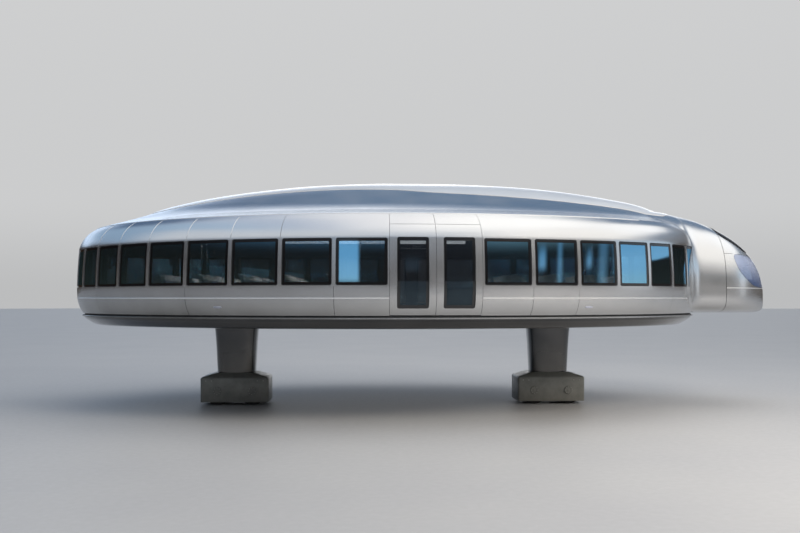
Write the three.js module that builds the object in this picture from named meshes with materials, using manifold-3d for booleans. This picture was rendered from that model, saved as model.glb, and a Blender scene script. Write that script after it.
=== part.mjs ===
// Elevated monorail car: an oval passenger hull with a nose pod, on two legs with wheeled feet.
// Millimetres. +X points to the nose, +Y to the car's left side, +Z up, floor at Z = 0.

import * as THREE from 'three';
import { mergeVertices } from 'three/addons/utils/BufferGeometryUtils.js';
import Module from 'manifold-3d';

const wasm = await Module();
wasm.setup();

// Gaps
const TOUCH_GAP = 0.3;
const PANEL_GAP = 5;
const TRIM_GAP = 2;

// Hull plan: two half ellipses that meet at the widest place
const HULL_X = -980;
const HULL_REAR = 7550;
const HULL_FRONT = 7750;
const HULL_HALF_WIDTH = 5120;
const PLAN_STEPS = 40;

// Hull wall, as insets of the plan from its widest line
const WALL_LEVELS = [
  { z: 2280, inset: 140 },
  { z: 2420, inset: 62 },
  { z: 2628, inset: 12 },
  { z: 2890, inset: 0 },
  { z: 3845, inset: 48 },
  { z: 4050, inset: 118 },
  { z: 4230, inset: 250 },
  { z: 4370, inset: 445 },
];
const WALL_THICKNESS = 90;
const WALL_BOTTOM = 2280;
const SHOULDER_EDGE_Z = 4370;
const GLASS_DEPTH = 46;
const GLASS_THICKNESS = 14;
const GLASS_EDGE_GAP = 3;
const SEALANT_GAP = 3;
const WINDOW_BOTTOM = 2890;
const WINDOW_TOP = 3845;
const REBATE_MARGIN = 34;

// How far the cuts for windows and doors reach out of the hull line and into it
const CUT_OUTWARD = 500;
const CUT_INWARD = 800;

// Windows
const MULLION_WIDTH = 84;
const WINDOW_CORNER = 45;
const REAR_PANES = { count: 7, pitch: 1125, fall: 5.2 };
const FRONT_PANES = { count: 6, pitch: 1105, fall: 8.5 };
const TAIL_PANES = 7;
const NOSE_SIDE_PANE = 720;

// Doors: two leaves on each side
const DOOR_REAR_X = -1030;
const DOOR_MID_X = -88;
const DOOR_FRONT_X = 855;
const DOOR_BOTTOM = 2290;
const DOOR_TOP = 4120;
const DOOR_GLASS_BOTTOM = 2425;
const DOOR_GLASS_TOP = 3860;
const DOOR_GLASS_SIDE = 148;

// Roof rings: height, reach behind and ahead of the widest place, half width
const ROOF_RINGS = [
  { z: 4372, rear: 7105, front: 7305, half: 4675 },
  { z: 4450, rear: 6920, front: 7180, half: 4050 },
  { z: 4560, rear: 6560, front: 7060, half: 3300 },
  { z: 4730, rear: 6000, front: 6850, half: 2580 },
  { z: 4920, rear: 5380, front: 6400, half: 2020 },
  { z: 5110, rear: 4480, front: 5500, half: 1510 },
  { z: 5270, rear: 3330, front: 4460, half: 1040 },
  { z: 5390, rear: 2040, front: 3250, half: 600 },
  { z: 5470, rear: 300, front: 1500, half: 110 },
];
const ROOF_THICKNESS = 60;

// Towards the tail everything over the belt comes down by a growing share of its height over it
const BELT_Z = 2628;
const TAIL_SAG = 0.07;

// Ridge cap: a long blade on the crown of the roof, blunt where it meets the pod
const CAP_THICKNESS = 26;
const CAP_OUTLINE = [
  { x: -6980, half: 0 },
  { x: -6560, half: 600 },
  { x: -6080, half: 900 },
  { x: -5400, half: 1010 },
  { x: -2600, half: 1050 },
  { x: -900, half: 1150 },
  { x: 200, half: 1370 },
  { x: 2070, half: 1480 },
  { x: 3400, half: 1500 },
  { x: 4200, half: 1420 },
  { x: 5100, half: 1280 },
  { x: 5640, half: 1210 },
  { x: 5890, half: 930 },
  { x: 6010, half: 500 },
  { x: 6050, half: 0 },
];

// Under the wall: a shadow groove, the bright lip and the belly pan
const LIP_TOP = 2262;
const LIP_BOTTOM = 2200;
const LIP_INSET = 122;
const LIP_WIDTH = 260;
const GROOVE_INSET = 185;
const FLOOR_TOP = 2330;
const FLOOR_INSET = 231;
const BELLY_LEVELS = [
  { z: 2199, inset: 165 },
  { z: 2120, inset: 250 },
  { z: 2045, inset: 370 },
  { z: 2000, inset: 500 },
];
const BELLY_SKIN = 40;
const BELLY_BOTTOM = 2000;
const PAD_SIZE = 260;
const PAD_HEIGHT = 20;
const PAD_X = 1150;
const PAD_Y = 1500;

// Nose pod: place along the car, half width, top, bottom
const POD_SECTIONS = [
  { x: 5220, half: 2440, top: 4825, bottom: 2272 },
  { x: 5770, half: 2310, top: 4760, bottom: 2272 },
  { x: 6020, half: 2190, top: 4725, bottom: 2272 },
  { x: 6190, half: 2010, top: 4695, bottom: 2272 },
  { x: 6370, half: 1900, top: 4655, bottom: 2272 },
  { x: 6670, half: 1830, top: 4575, bottom: 2272 },
  { x: 7050, half: 1740, top: 4420, bottom: 2272 },
  { x: 7440, half: 1600, top: 4215, bottom: 2272 },
  { x: 7800, half: 1365, top: 3970, bottom: 2272 },
  { x: 8130, half: 1030, top: 3640, bottom: 2272 },
  { x: 8320, half: 750, top: 3315, bottom: 2285 },
  { x: 8435, half: 530, top: 3050, bottom: 2320 },
  { x: 8500, half: 330, top: 2850, bottom: 2400 },
  { x: 8530, half: 130, top: 2670, bottom: 2500 },
];
const POD_STEPS = 28;
const POD_SKIN = 60;
const POD_TO_HULL_GAP = 4;
const POD_WAIST_Z = 2860;
const POD_TOP_POWER = 2.5;
const POD_FLANK_POWER = 5;
const NOSE_SEAM_X = 7050;
const BUMPER_SEAM_Z = 2870;

// Windscreen outline, seen from above: place along the car and half width
const SCREEN_OUTLINE = [
  { x: 7080, half: 1040 },
  { x: 7140, half: 1120 },
  { x: 7300, half: 1140 },
  { x: 7640, half: 1095 },
  { x: 7780, half: 1010 },
  { x: 7930, half: 760 },
  { x: 8020, half: 450 },
];
const SCREEN_CROWN = 18;
const SCREEN_LOW_Z = 3300;
const SCREEN_SURROUND = 55;

// Headlamp outline, seen from the side
const LAMP_OUTLINE = [
  [7285, 3695],
  [7590, 3680],
  [7900, 3640],
  [8180, 3600],
  [8420, 3330],
  [8600, 2885],
  [7960, 2885],
  [7720, 3030],
  [7530, 3170],
  [7380, 3380],
];
const LAMP_INNER_Y = 150;

// Passage from the cabin into the pod
const PASSAGE_HALF_WIDTH = 550;
const PASSAGE_TOP = 4150;

// Legs and feet
const LEG_X = [3110, -4710];
const LEG_NAMES = ['front', 'rear'];
const LEG_LEVELS = [
  { z: 792, halfX: 470, halfY: 400 },
  { z: 1880, halfX: 540, halfY: 440 },
  { z: 1960, halfX: 580, halfY: 480 },
  { z: 1999.5, halfX: 660, halfY: 560 },
];
const LEG_STEPS = 24;
const LEG_POWER = 3;
const FOOT_HALF_LENGTH = 835;
const FOOT_HALF_WIDTH = 520;
const FOOT_BOTTOM = 75;
const FOOT_SIDE_TOP = 690;
const FOOT_TOP = 784;
const FOOT_TOP_HALF_LENGTH = 520;
const FOOT_TOP_HALF_WIDTH = 440;
const FOOT_SKIN = 42;
const SLEW_RING_R = 330;
const SLEW_RING_TOP = 791.5;

// Wheels: two on each axle, two axles in each foot
const WHEEL_R = 350;
const AXLE_OFFSET = 425;
const TYRE_Y = 330;
const TYRE_HALF_WIDTH = 95;
const RIM_R = 250;
const AXLE_R = 50;
const AXLE_HALF_LENGTH = 505;
const BORE_R = 51.5;
const TYRE_SHOULDER = 26;
const TYRE_FIT_GAP = 2.5;
const CAP_R = 102;
const CAP_PROUD = 26;
const RIM_DISH = 40;
const WHEEL_STEPS = 16;
const SMALL_ROUND_STEPS = 12;

// Cabin fittings
const CEILING_Z = 4300;
const CEILING_THICKNESS = 30;
const CEILING_INSET = 1010;
const BLOCK = { rear: -3330, front: 1570, half: 1600 };
const RAIL_Z = 4120;
const RAIL_R = 19;
const RAIL_REAR_X = -5730;
const RAIL_FRONT_X = 4370;
const POST_X = [-5530, -1630, 1320, 4170];
const SEAT_PITCH = 900;
const SEAT_ROWS = {
  rear: { first: -2180, count: 5, step: -SEAT_PITCH },
  front: { first: 1820, count: 4, step: SEAT_PITCH },
};
const SEAT_AISLE = 450;
const SEAT_WALL_GAP = 400;
const SEAT_RUNNER = { fromAisle: 200, half: 30, height: 30 };
const RAIL_FROM_AISLE = 60;

// Side outlines of the seats and the driver's desk: forward of the row or along the car, over the floor
const SEAT_OUTLINE = [
  [60, 0],
  [330, 0],
  [330, 270],
  [470, 300],
  [470, 440],
  [40, 420],
  [-90, 820],
  [-200, 820],
  [-60, 300],
  [60, 270],
];
const CAB_FLOOR_GAP = 20;
const DRIVER_SEAT_HALF_WIDTH = 280;
const DRIVER_SEAT_OUTLINE = [
  [6870, 0],
  [7170, 0],
  [7170, 280],
  [7340, 320],
  [7340, 430],
  [6880, 430],
  [6760, 1250],
  [6650, 1250],
  [6780, 300],
  [6870, 280],
];
const DESK_HALF_WIDTH = 600;
const DESK_OUTLINE = [
  [7620, 0],
  [7920, 0],
  [7920, 620],
  [7800, 780],
  [7530, 700],
  [7530, 620],
  [7620, 580],
];

// Materials
function finish(color, roughness, metalness) {
  return new THREE.MeshStandardMaterial({ color, roughness, metalness });
}

const silver = finish(0xbfc2c6, 0.28, 0.85);
const brightSilver = finish(0xdfe1e3, 0.2, 0.9);
const darkGloss = finish(0x33363a, 0.2, 0.6);
const footMetal = finish(0x55565a, 0.4, 0.6);
const glass = finish(0x10151a, 0.05, 0.1);
const lampLens = finish(0x9db8e8, 0.05, 0.1);
const tyreRubber = finish(0x151515, 0.9, 0);
const wheelSteel = finish(0x8a8c90, 0.4, 0.8);
const cabinPlastic = finish(0xd8d8d4, 0.6, 0);
const cabinFloor = finish(0x5b5f63, 0.8, 0);
const seatFabric = finish(0x4a5a74, 0.9, 0);
const railSteel = finish(0xc8cacc, 0.25, 0.9);
const blockMetal = finish(0x3c4043, 0.6, 0.4);

// Mesh building

function signedVolume(positions, index) {
  const corners = [new THREE.Vector3(), new THREE.Vector3(), new THREE.Vector3()];
  let six = 0;
  for (let i = 0; i < index.length; i += 3) {
    corners.forEach((corner, k) => corner.fromArray(positions, 3 * index[i + k]));
    six += corners[0].dot(corners[1].cross(corners[2]));
  }
  return six;
}

function meshFrom(positions, index) {
  if (signedVolume(positions, index) < 0) index.reverse();
  const geometry = new THREE.BufferGeometry();
  geometry.setAttribute('position', new THREE.Float32BufferAttribute(positions, 3));
  geometry.setIndex(index);
  return geometry;
}

// Rings of equally many points, joined in turn: closed on itself, or capped at both ends
function loft(rings, closed = false) {
  const steps = rings[0].length;
  const positions = rings.flat().flatMap((point) => [point.x, point.y, point.z]);
  const index = [];
  const spans = closed ? rings.length : rings.length - 1;
  for (let i = 0; i < spans; i += 1) {
    const low = i * steps;
    const high = ((i + 1) % rings.length) * steps;
    for (let j = 0; j < steps; j += 1) {
      const k = (j + 1) % steps;
      index.push(low + j, low + k, high + k, low + j, high + k, high + j);
    }
  }
  if (!closed) {
    const last = (rings.length - 1) * steps;
    for (let j = 1; j < steps - 1; j += 1) {
      index.push(0, j + 1, j);
      index.push(last, last + j, last + j + 1);
    }
  }
  return meshFrom(positions, index);
}

function welded(geometry) {
  const bare = geometry.clone();
  bare.deleteAttribute('normal');
  bare.deleteAttribute('uv');
  return mergeVertices(bare, 1e-4);
}

function solid(geometry) {
  const merged = welded(geometry);
  const vertProperties = new Float32Array(merged.attributes.position.array);
  const triVerts = new Uint32Array(merged.index.array);
  return new wasm.Manifold(new wasm.Mesh({ numProp: 3, vertProperties, triVerts }));
}

function geometryOf(body) {
  const mesh = body.getMesh();
  const positions = [];
  for (let i = 0; i < mesh.vertProperties.length; i += mesh.numProp) {
    positions.push(...mesh.vertProperties.slice(i, i + 3));
  }
  return meshFrom(positions, Array.from(mesh.triVerts));
}

function mirrored(geometry) {
  const copy = welded(geometry).scale(1, -1, 1);
  return meshFrom(Array.from(copy.attributes.position.array), Array.from(copy.index.array));
}

const box = (x1, x2, y1, y2, z1, z2) =>
  new THREE.BoxGeometry(x2 - x1, y2 - y1, z2 - z1).translate((x1 + x2) / 2, (y1 + y2) / 2, (z1 + z2) / 2);

// A plan outline raised from one height to another
function planPrism(points, low, high) {
  const shape = new THREE.Shape(points.map(([x, y]) => new THREE.Vector2(x, y)));
  return new THREE.ExtrudeGeometry(shape, { depth: high - low, bevelEnabled: false }).translate(0, 0, low);
}

// A side outline, given as x and z, carried across from one y to another
function sidePrism(points, y1, y2) {
  const shape = new THREE.Shape(points.map(([x, z]) => new THREE.Vector2(x, z)));
  const geometry = new THREE.ExtrudeGeometry(shape, { depth: y2 - y1, bevelEnabled: false });
  return geometry.rotateX(Math.PI / 2).translate(0, y2, 0);
}

// An outline whose edges all move inwards by a distance
function insetOutline(points, distance) {
  const turn = Math.sign(THREE.ShapeUtils.area(points.map(([x, y]) => new THREE.Vector2(x, y))));
  return points.map((point, i) => {
    const here = new THREE.Vector2(...point);
    const before = new THREE.Vector2(...points.at(i - 1));
    const after = new THREE.Vector2(...points[(i + 1) % points.length]);
    const inOne = here.clone().sub(before).normalize();
    const inTwo = after.clone().sub(here).normalize();
    const normal = new THREE.Vector2(-inOne.y - inTwo.y, inOne.x + inTwo.x).normalize();
    const miter = distance / Math.max(normal.dot(new THREE.Vector2(-inOne.y, inOne.x)), 0.3);
    return here.addScaledVector(normal, turn * miter).toArray();
  });
}

// A lathe about the Y axis; the profile gives radius and y
function axleLathe(profile, steps) {
  const points = profile.map(([radius, y]) => new THREE.Vector2(radius, y));
  return new THREE.LatheGeometry(points, steps);
}

// Hull plan

function hullPoint(angle, inset = 0, z = 0) {
  const reach = (Math.sin(angle) > 0 ? HULL_FRONT : HULL_REAR) - inset;
  return new THREE.Vector3(
    HULL_X + reach * Math.sin(angle),
    -(HULL_HALF_WIDTH - inset) * Math.cos(angle),
    z,
  );
}

function hullNormal(angle) {
  const reach = Math.sin(angle) > 0 ? HULL_FRONT : HULL_REAR;
  return new THREE.Vector3(Math.sin(angle) / reach, -Math.cos(angle) / HULL_HALF_WIDTH, 0).normalize();
}

const planAngles = Array.from({ length: PLAN_STEPS }, (_, i) => (2 * Math.PI * i) / PLAN_STEPS);
const hullRing = (inset, z) => planAngles.map((angle) => hullPoint(angle, inset, z));

function roofRing({ z, rear, front, half }, shrink = 0, drop = 0) {
  return planAngles.map((angle) => {
    const reach = (Math.sin(angle) > 0 ? front : rear) - shrink;
    return new THREE.Vector3(
      HULL_X + Math.max(reach, 1) * Math.sin(angle),
      -Math.max(half - shrink, 1) * Math.cos(angle),
      z - drop,
    );
  });
}

const doorAngle = (x) => Math.asin((x - HULL_X) / (x > HULL_X ? HULL_FRONT : HULL_REAR));
const angleRear = doorAngle(DOOR_REAR_X);
const angleMid = doorAngle(DOOR_MID_X);
const angleFront = doorAngle(DOOR_FRONT_X);

// The angle that lies a given distance round the hull from another angle
function angleAlong(start, distance) {
  const step = Math.sign(distance) * 1e-4;
  let angle = start;
  let walked = 0;
  while (walked < Math.abs(distance)) {
    walked += hullPoint(angle).distanceTo(hullPoint(angle + step));
    angle += step;
  }
  return angle;
}

function wallInset(z) {
  const upper = Math.max(WALL_LEVELS.findIndex((level) => level.z >= z), 1);
  const a = WALL_LEVELS[upper - 1];
  const b = WALL_LEVELS[upper];
  return a.inset + ((b.inset - a.inset) * (z - a.z)) / (b.z - a.z);
}

// The same geometry with its tail end lowered over the belt
function settled(geometry) {
  const place = geometry.attributes.position;
  for (let i = 0; i < place.count; i += 1) {
    const back = Math.max(HULL_X - place.getX(i), 0) / HULL_REAR;
    const above = Math.max(place.getZ(i) - BELT_Z, 0);
    place.setZ(i, place.getZ(i) - TAIL_SAG * back * back * above);
  }
  return geometry;
}

// The wall as a closed ring, thinner behind a glazing band that runs between two heights
function wallRing(bandLow, bandHigh) {
  const rings = WALL_LEVELS.map((level) => hullRing(level.inset, level.z));
  const thin = GLASS_DEPTH - SEALANT_GAP;
  const inner = [
    [SHOULDER_EDGE_Z, WALL_THICKNESS],
    [bandHigh, WALL_THICKNESS],
    [bandHigh, thin],
    [bandLow, thin],
    [bandLow, WALL_THICKNESS],
    [WALL_BOTTOM, WALL_THICKNESS],
  ];
  inner.forEach(([z, depth]) => rings.push(hullRing(wallInset(z) + depth, z)));
  return settled(loft(rings, true));
}

// The glass lies in the wall's rebate, clear of its upper and lower edges
function glassRing(bandLow, bandHigh) {
  const low = bandLow + GLASS_EDGE_GAP;
  const high = bandHigh - GLASS_EDGE_GAP;
  const insetAt = (z) => {
    const share = (z - bandLow) / (bandHigh - bandLow);
    return wallInset(bandLow) * (1 - share) + wallInset(bandHigh) * share;
  };
  const outer = GLASS_DEPTH;
  const inner = GLASS_DEPTH + GLASS_THICKNESS;
  return settled(loft([
    hullRing(insetAt(low) + outer, low),
    hullRing(insetAt(high) + outer, high),
    hullRing(insetAt(high) + inner, high),
    hullRing(insetAt(low) + inner, low),
  ], true));
}

// A wedge of plan between two places on the hull, with radial sides
function radialWedge(from, to, low, high, gap = PANEL_GAP / 2) {
  const side = (angle, reach, shift) => {
    const point = hullPoint(angle).addScaledVector(hullNormal(angle), reach);
    const along = new THREE.Vector3(-hullNormal(angle).y, hullNormal(angle).x, 0);
    return point.addScaledVector(along, shift).toArray().slice(0, 2);
  };
  return planPrism([
    side(from, CUT_OUTWARD, gap),
    side(to, CUT_OUTWARD, -gap),
    side(to, -CUT_INWARD, -gap),
    side(from, -CUT_INWARD, gap),
  ], low, high);
}

// Everything on the right side from a radial line to the centre plane, behind or ahead of it
function sideWedge(angle, ahead, low, high) {
  const sign = ahead ? 1 : -1;
  const normal = hullNormal(angle);
  const along = new THREE.Vector3(-normal.y, normal.x, 0).multiplyScalar((sign * PANEL_GAP) / 2);
  const outer = hullPoint(angle).addScaledVector(normal, CUT_OUTWARD).add(along);
  const inner = hullPoint(angle).addScaledVector(normal, -CUT_INWARD).add(along);
  const far = sign * 10000;
  const centre = -TOUCH_GAP / 2;
  return planPrism([
    [outer.x, outer.y],
    [inner.x, inner.y],
    [inner.x, centre],
    [far, centre],
    [far, -7000],
    [outer.x, -7000],
  ], low, high);
}

// A window opening with clipped corners, cut square to the hull between two angles
function windowCutter(from, to, low, high, side) {
  const middle = (from + to) / 2;
  const a = hullPoint(from);
  const b = hullPoint(to);
  const half = a.distanceTo(b) / 2 - side;
  const r = WINDOW_CORNER;
  const outline = [
    [-half + r, low],
    [half - r, low],
    [half, low + r],
    [half, high - r],
    [half - r, high],
    [-half + r, high],
    [-half, high - r],
    [-half, low + r],
  ];
  const shape = new THREE.Shape(outline.map(([x, y]) => new THREE.Vector2(x, y)));
  const depth = CUT_OUTWARD + CUT_INWARD;
  const geometry = new THREE.ExtrudeGeometry(shape, { depth, bevelEnabled: false });
  const normal = hullNormal(middle);
  const across = new THREE.Vector3(-normal.y, normal.x, 0);
  const placing = new THREE.Matrix4().makeBasis(across, new THREE.Vector3(0, 0, 1), normal);
  const centre = a.add(b).multiplyScalar(0.5).addScaledVector(normal, -CUT_INWARD);
  placing.setPosition(centre);
  return settled(geometry.applyMatrix4(placing));
}

// Mullion lines, from the door edges outwards, and round the tail
function mullionAngles(start, { count, pitch, fall }, direction) {
  const angles = [start];
  let walked = 0;
  for (let k = 1; k <= count; k += 1) {
    walked += pitch - fall * k * k;
    angles.push(angleAlong(start, direction * walked));
  }
  return angles;
}

const rearMullions = mullionAngles(angleRear, REAR_PANES, -1);
const frontMullions = mullionAngles(angleFront, FRONT_PANES, 1);
const lastRear = rearMullions.at(-1);
const tailPanes = Array.from({ length: TAIL_PANES + 1 }, (_, i) =>
  lastRear + ((-Math.PI - lastRear - lastRear) * i) / TAIL_PANES);
frontMullions.push(angleAlong(frontMullions.at(-1), NOSE_SIDE_PANE));

function cutWindows(body, angles) {
  let cut = body;
  for (let i = 0; i + 1 < angles.length; i += 1) {
    const side = MULLION_WIDTH / 2;
    cut = cut.subtract(solid(windowCutter(angles[i], angles[i + 1], WINDOW_BOTTOM, WINDOW_TOP, side)));
  }
  return cut;
}

// The object

const car = new THREE.Group();

function add(name, geometry, material) {
  const mesh = new THREE.Mesh(geometry, material);
  mesh.name = name;
  car.add(mesh);
  return mesh;
}

const addPair = (name, geometry, material) => {
  add(`${name}_right`, geometry, material);
  add(`${name}_left`, mirrored(geometry), material);
};

// Hull walls, door headers, door leaves and their glass

const bandLow = WINDOW_BOTTOM - REBATE_MARGIN;
const bandHigh = WINDOW_TOP + REBATE_MARGIN;
const ringForWindows = solid(wallRing(bandLow, bandHigh));
const passage = solid(box(4000, 9000, -PASSAGE_HALF_WIDTH, PASSAGE_HALF_WIDTH, FLOOR_TOP, PASSAGE_TOP));
const wallHigh = SHOULDER_EDGE_Z + 100;

function makeWalls() {
  const rear = ringForWindows.intersect(solid(sideWedge(angleRear, false, 2000, wallHigh)));
  const front = ringForWindows.intersect(solid(sideWedge(angleFront, true, 2000, wallHigh)));
  addPair('wall_rear', geometryOf(cutWindows(cutWindows(rear, rearMullions), tailPanes)), silver);
  addPair('wall_front', geometryOf(cutWindows(front, frontMullions).subtract(passage)), silver);
  const header = radialWedge(angleRear, angleFront, DOOR_TOP + PANEL_GAP, wallHigh);
  addPair('door_header', geometryOf(ringForWindows.intersect(solid(header))), silver);
}

function makeDoors() {
  const glassLow = DOOR_GLASS_BOTTOM - REBATE_MARGIN;
  const glassHigh = DOOR_GLASS_TOP + REBATE_MARGIN;
  const ring = solid(wallRing(glassLow, glassHigh));
  const panes = solid(glassRing(glassLow, glassHigh));
  const leaves = [
    ['door_leaf_rear', angleRear, angleMid, 'door_glass_rear'],
    ['door_leaf_front', angleMid, angleFront, 'door_glass_front'],
  ];
  for (const [name, from, to, glassName] of leaves) {
    const wedge = solid(radialWedge(from, to, DOOR_BOTTOM, DOOR_TOP));
    const opening = solid(windowCutter(from, to, DOOR_GLASS_BOTTOM, DOOR_GLASS_TOP, DOOR_GLASS_SIDE));
    addPair(name, geometryOf(ring.intersect(wedge).subtract(opening)), silver);
    const paneWedge = radialWedge(from, to, 2000, wallHigh, DOOR_GLASS_SIDE - REBATE_MARGIN);
    addPair(glassName, geometryOf(panes.intersect(solid(paneWedge))), glass);
  }
}

function makeGlazing() {
  const ring = solid(glassRing(bandLow, bandHigh));
  const rear = ring.intersect(solid(sideWedge(angleRear, false, 2000, wallHigh)));
  const far = ring.intersect(solid(mirrored(sideWedge(angleRear, false, 2000, wallHigh))));
  add('glazing_rear_right', geometryOf(rear), glass);
  add('glazing_rear_left', geometryOf(far), glass);
  const frontEnd = solid(box(DOOR_FRONT_X, 9000, -9000, -PASSAGE_HALF_WIDTH - 200, 2000, wallHigh));
  const front = ring.intersect(solid(sideWedge(angleFront, true, 2000, wallHigh))).intersect(frontEnd);
  addPair('glazing_front', geometryOf(front), glass);
}

// Roof, ridge cap and ceiling

const outerRoofRings = (lift) => ROOF_RINGS.map((ring) => roofRing(ring, -lift, -lift));

function hullEnvelope(lift) {
  const low = [hullRing(-lift, 2150), ...WALL_LEVELS.map((level) => hullRing(level.inset - lift, level.z))];
  return loft([...low.slice(0, -1), ...outerRoofRings(lift)]);
}

function makeRoof() {
  const foot = roofRing(ROOF_RINGS[0], WALL_THICKNESS + 60, 0);
  const innerRings = ROOF_RINGS.filter((_, i) => i > 1 && i % 2 === 0)
    .map((ring) => roofRing(ring, 2 * ROOF_THICKNESS, ROOF_THICKNESS));
  add('roof_shell', settled(loft([...innerRings.reverse(), foot, ...outerRoofRings(0)])), silver);

  const over = solid(settled(loft(outerRoofRings(CAP_THICKNESS)))).add(solid(podBody(CAP_THICKNESS)));
  const under = solid(settled(loft(outerRoofRings(TOUCH_GAP)))).add(solid(podBody(1)));
  const outline = [
    ...CAP_OUTLINE.map(({ x, half }) => [x, half]),
    ...CAP_OUTLINE.slice(1, -1).reverse().map(({ x, half }) => [x, -half]),
  ];
  const cap = over.subtract(under).intersect(solid(planPrism(outline, SHOULDER_EDGE_Z + 30, 6000)));
  add('ridge_cap', geometryOf(cap), brightSilver);
}

function makeCeiling() {
  const low = hullRing(CEILING_INSET, CEILING_Z);
  const panel = loft([low, hullRing(CEILING_INSET, CEILING_Z + CEILING_THICKNESS)]);
  add('ceiling_panel', panel, cabinPlastic);
}

// Floor, lip, belly pan and the block that lies in it

function makeUnderside() {
  const floor = loft([
    hullRing(GROOVE_INSET, LIP_TOP + TOUCH_GAP),
    hullRing(GROOVE_INSET, WALL_BOTTOM - TOUCH_GAP),
    hullRing(FLOOR_INSET, WALL_BOTTOM - TOUCH_GAP),
    hullRing(FLOOR_INSET, FLOOR_TOP),
  ]);
  add('floor_deck', floor, cabinFloor);

  const lip = loft([
    hullRing(LIP_INSET, LIP_BOTTOM),
    hullRing(LIP_INSET, LIP_TOP - 14),
    hullRing(LIP_INSET + 20, LIP_TOP),
    hullRing(LIP_INSET + LIP_WIDTH, LIP_TOP),
    hullRing(LIP_INSET + LIP_WIDTH, LIP_BOTTOM),
  ], true);
  add('lip_trim', lip, brightSilver);

  const outside = BELLY_LEVELS.map(({ z, inset }) => hullRing(inset, z));
  const inside = [
    hullRing(500 + BELLY_SKIN, BELLY_BOTTOM + BELLY_SKIN),
    hullRing(250 + BELLY_SKIN, 2120),
    hullRing(165 + BELLY_SKIN, 2240),
  ];
  let pan = solid(loft(outside.reverse())).subtract(solid(loft(inside)));
  for (const x of LEG_X) {
    for (const sideX of [-1, 1]) {
      for (const sideY of [-1, 1]) {
        const cx = x + sideX * PAD_X;
        const cy = sideY * PAD_Y;
        const h = PAD_SIZE / 2;
        const pad = box(cx - h, cx + h, cy - h, cy + h, BELLY_BOTTOM - PAD_HEIGHT, BELLY_BOTTOM + 10);
        pan = pan.add(solid(pad));
      }
    }
  }
  add('belly_pan', geometryOf(pan), darkGloss);
  const { rear, front, half } = BLOCK;
  const block = box(rear, front, -half, half, BELLY_BOTTOM + BELLY_SKIN + 1, LIP_TOP - 2);
  add('power_unit', block, blockMetal);
}

// Nose pod

const signedPower = (value, power) => Math.sign(value) * Math.abs(value) ** (2 / power);

function podRing({ x, half, top, bottom }, grow = 0) {
  return Array.from({ length: POD_STEPS }, (_, i) => {
    const angle = (2 * Math.PI * (i + 0.5)) / POD_STEPS;
    const power = Math.sin(angle) > 0 ? POD_TOP_POWER : POD_FLANK_POWER;
    const waist = Math.min(POD_WAIST_Z, (top + bottom) / 2);
    const reach = Math.sin(angle) > 0 ? top + grow - waist : waist - (bottom - grow);
    return new THREE.Vector3(
      x,
      Math.max(half + grow, 20) * signedPower(Math.cos(angle), power),
      waist + Math.max(reach, 20) * signedPower(Math.sin(angle), power),
    );
  });
}

const podBody = (grow, first = 0, last = POD_SECTIONS.length) =>
  loft(POD_SECTIONS.slice(first, last).map((section) => podRing(section, grow)));

function makePod() {
  const outer = solid(podBody(0));
  const sections = POD_SECTIONS.slice(0, -2).filter((_, i) => i % 2 === 0 || i > 6);
  const innerRings = sections.map((section, i) =>
    podRing(i === 0 ? { ...section, x: section.x - 200 } : section, -POD_SKIN));
  const shell = outer.subtract(solid(loft(innerRings)));
  const hull = solid(hullEnvelope(POD_TO_HULL_GAP));
  const behindSeam = solid(box(4000, NOSE_SEAM_X - PANEL_GAP / 2, -4000, 4000, 2000, 6000));
  add('pod_shell', geometryOf(shell.intersect(behindSeam).subtract(hull)), silver);

  const aheadOfSeam = NOSE_SEAM_X + PANEL_GAP / 2;
  const above = solid(box(aheadOfSeam, 9500, -4000, 4000, BUMPER_SEAM_Z + PANEL_GAP / 2, 6000));
  const below = solid(box(aheadOfSeam, 9500, -4000, 4000, 2000, BUMPER_SEAM_Z - PANEL_GAP / 2));
  const nose = shell.intersect(above);

  const screenOutline = [
    ...SCREEN_OUTLINE.map(({ x, half }) => [x, half]),
    ...SCREEN_OUTLINE.map(({ x, half }) => [x, -half]).reverse(),
  ];
  const screenHole = solid(planPrism(screenOutline, SCREEN_LOW_Z, 6000));
  const screenPlug = solid(planPrism(insetOutline(screenOutline, TRIM_GAP), SCREEN_LOW_Z + TRIM_GAP, 6000));
  const crowned = solid(podBody(SCREEN_CROWN, 5)).subtract(solid(loft(innerRings)));

  const surround = (width) =>
    solid(planPrism(insetOutline(screenOutline, -width), SCREEN_LOW_Z - 200, 6000));
  const round = surround(SCREEN_SURROUND);
  const lampHole = solid(sidePrism(LAMP_OUTLINE, -3000, -LAMP_INNER_Y)).subtract(round);
  const otherLampHole = solid(sidePrism(LAMP_OUTLINE, LAMP_INNER_Y, 3000)).subtract(round);
  add('nose_cap', geometryOf(nose.subtract(screenHole).subtract(lampHole).subtract(otherLampHole)), silver);
  add('nose_bumper', geometryOf(shell.intersect(below)), silver);
  add('windscreen', geometryOf(crowned.intersect(screenPlug)), glass);
  const lampPlug = solid(sidePrism(insetOutline(LAMP_OUTLINE, TRIM_GAP), -3000, -LAMP_INNER_Y - TRIM_GAP));
  const lamp = shell.intersect(above).intersect(lampPlug).subtract(surround(SCREEN_SURROUND + TRIM_GAP));
  addPair('headlamp', geometryOf(lamp), lampLens);
}

// Cabin fittings

function hullHalfWidthAt(x, inset) {
  const reach = (x > HULL_X ? HULL_FRONT : HULL_REAR) - inset;
  const u = (x - HULL_X) / reach;
  return (HULL_HALF_WIDTH - inset) * Math.sqrt(Math.max(0, 1 - u * u));
}

const standing = (outline, x, z) => outline.map(([forward, up]) => [x + forward, z + up]);

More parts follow.
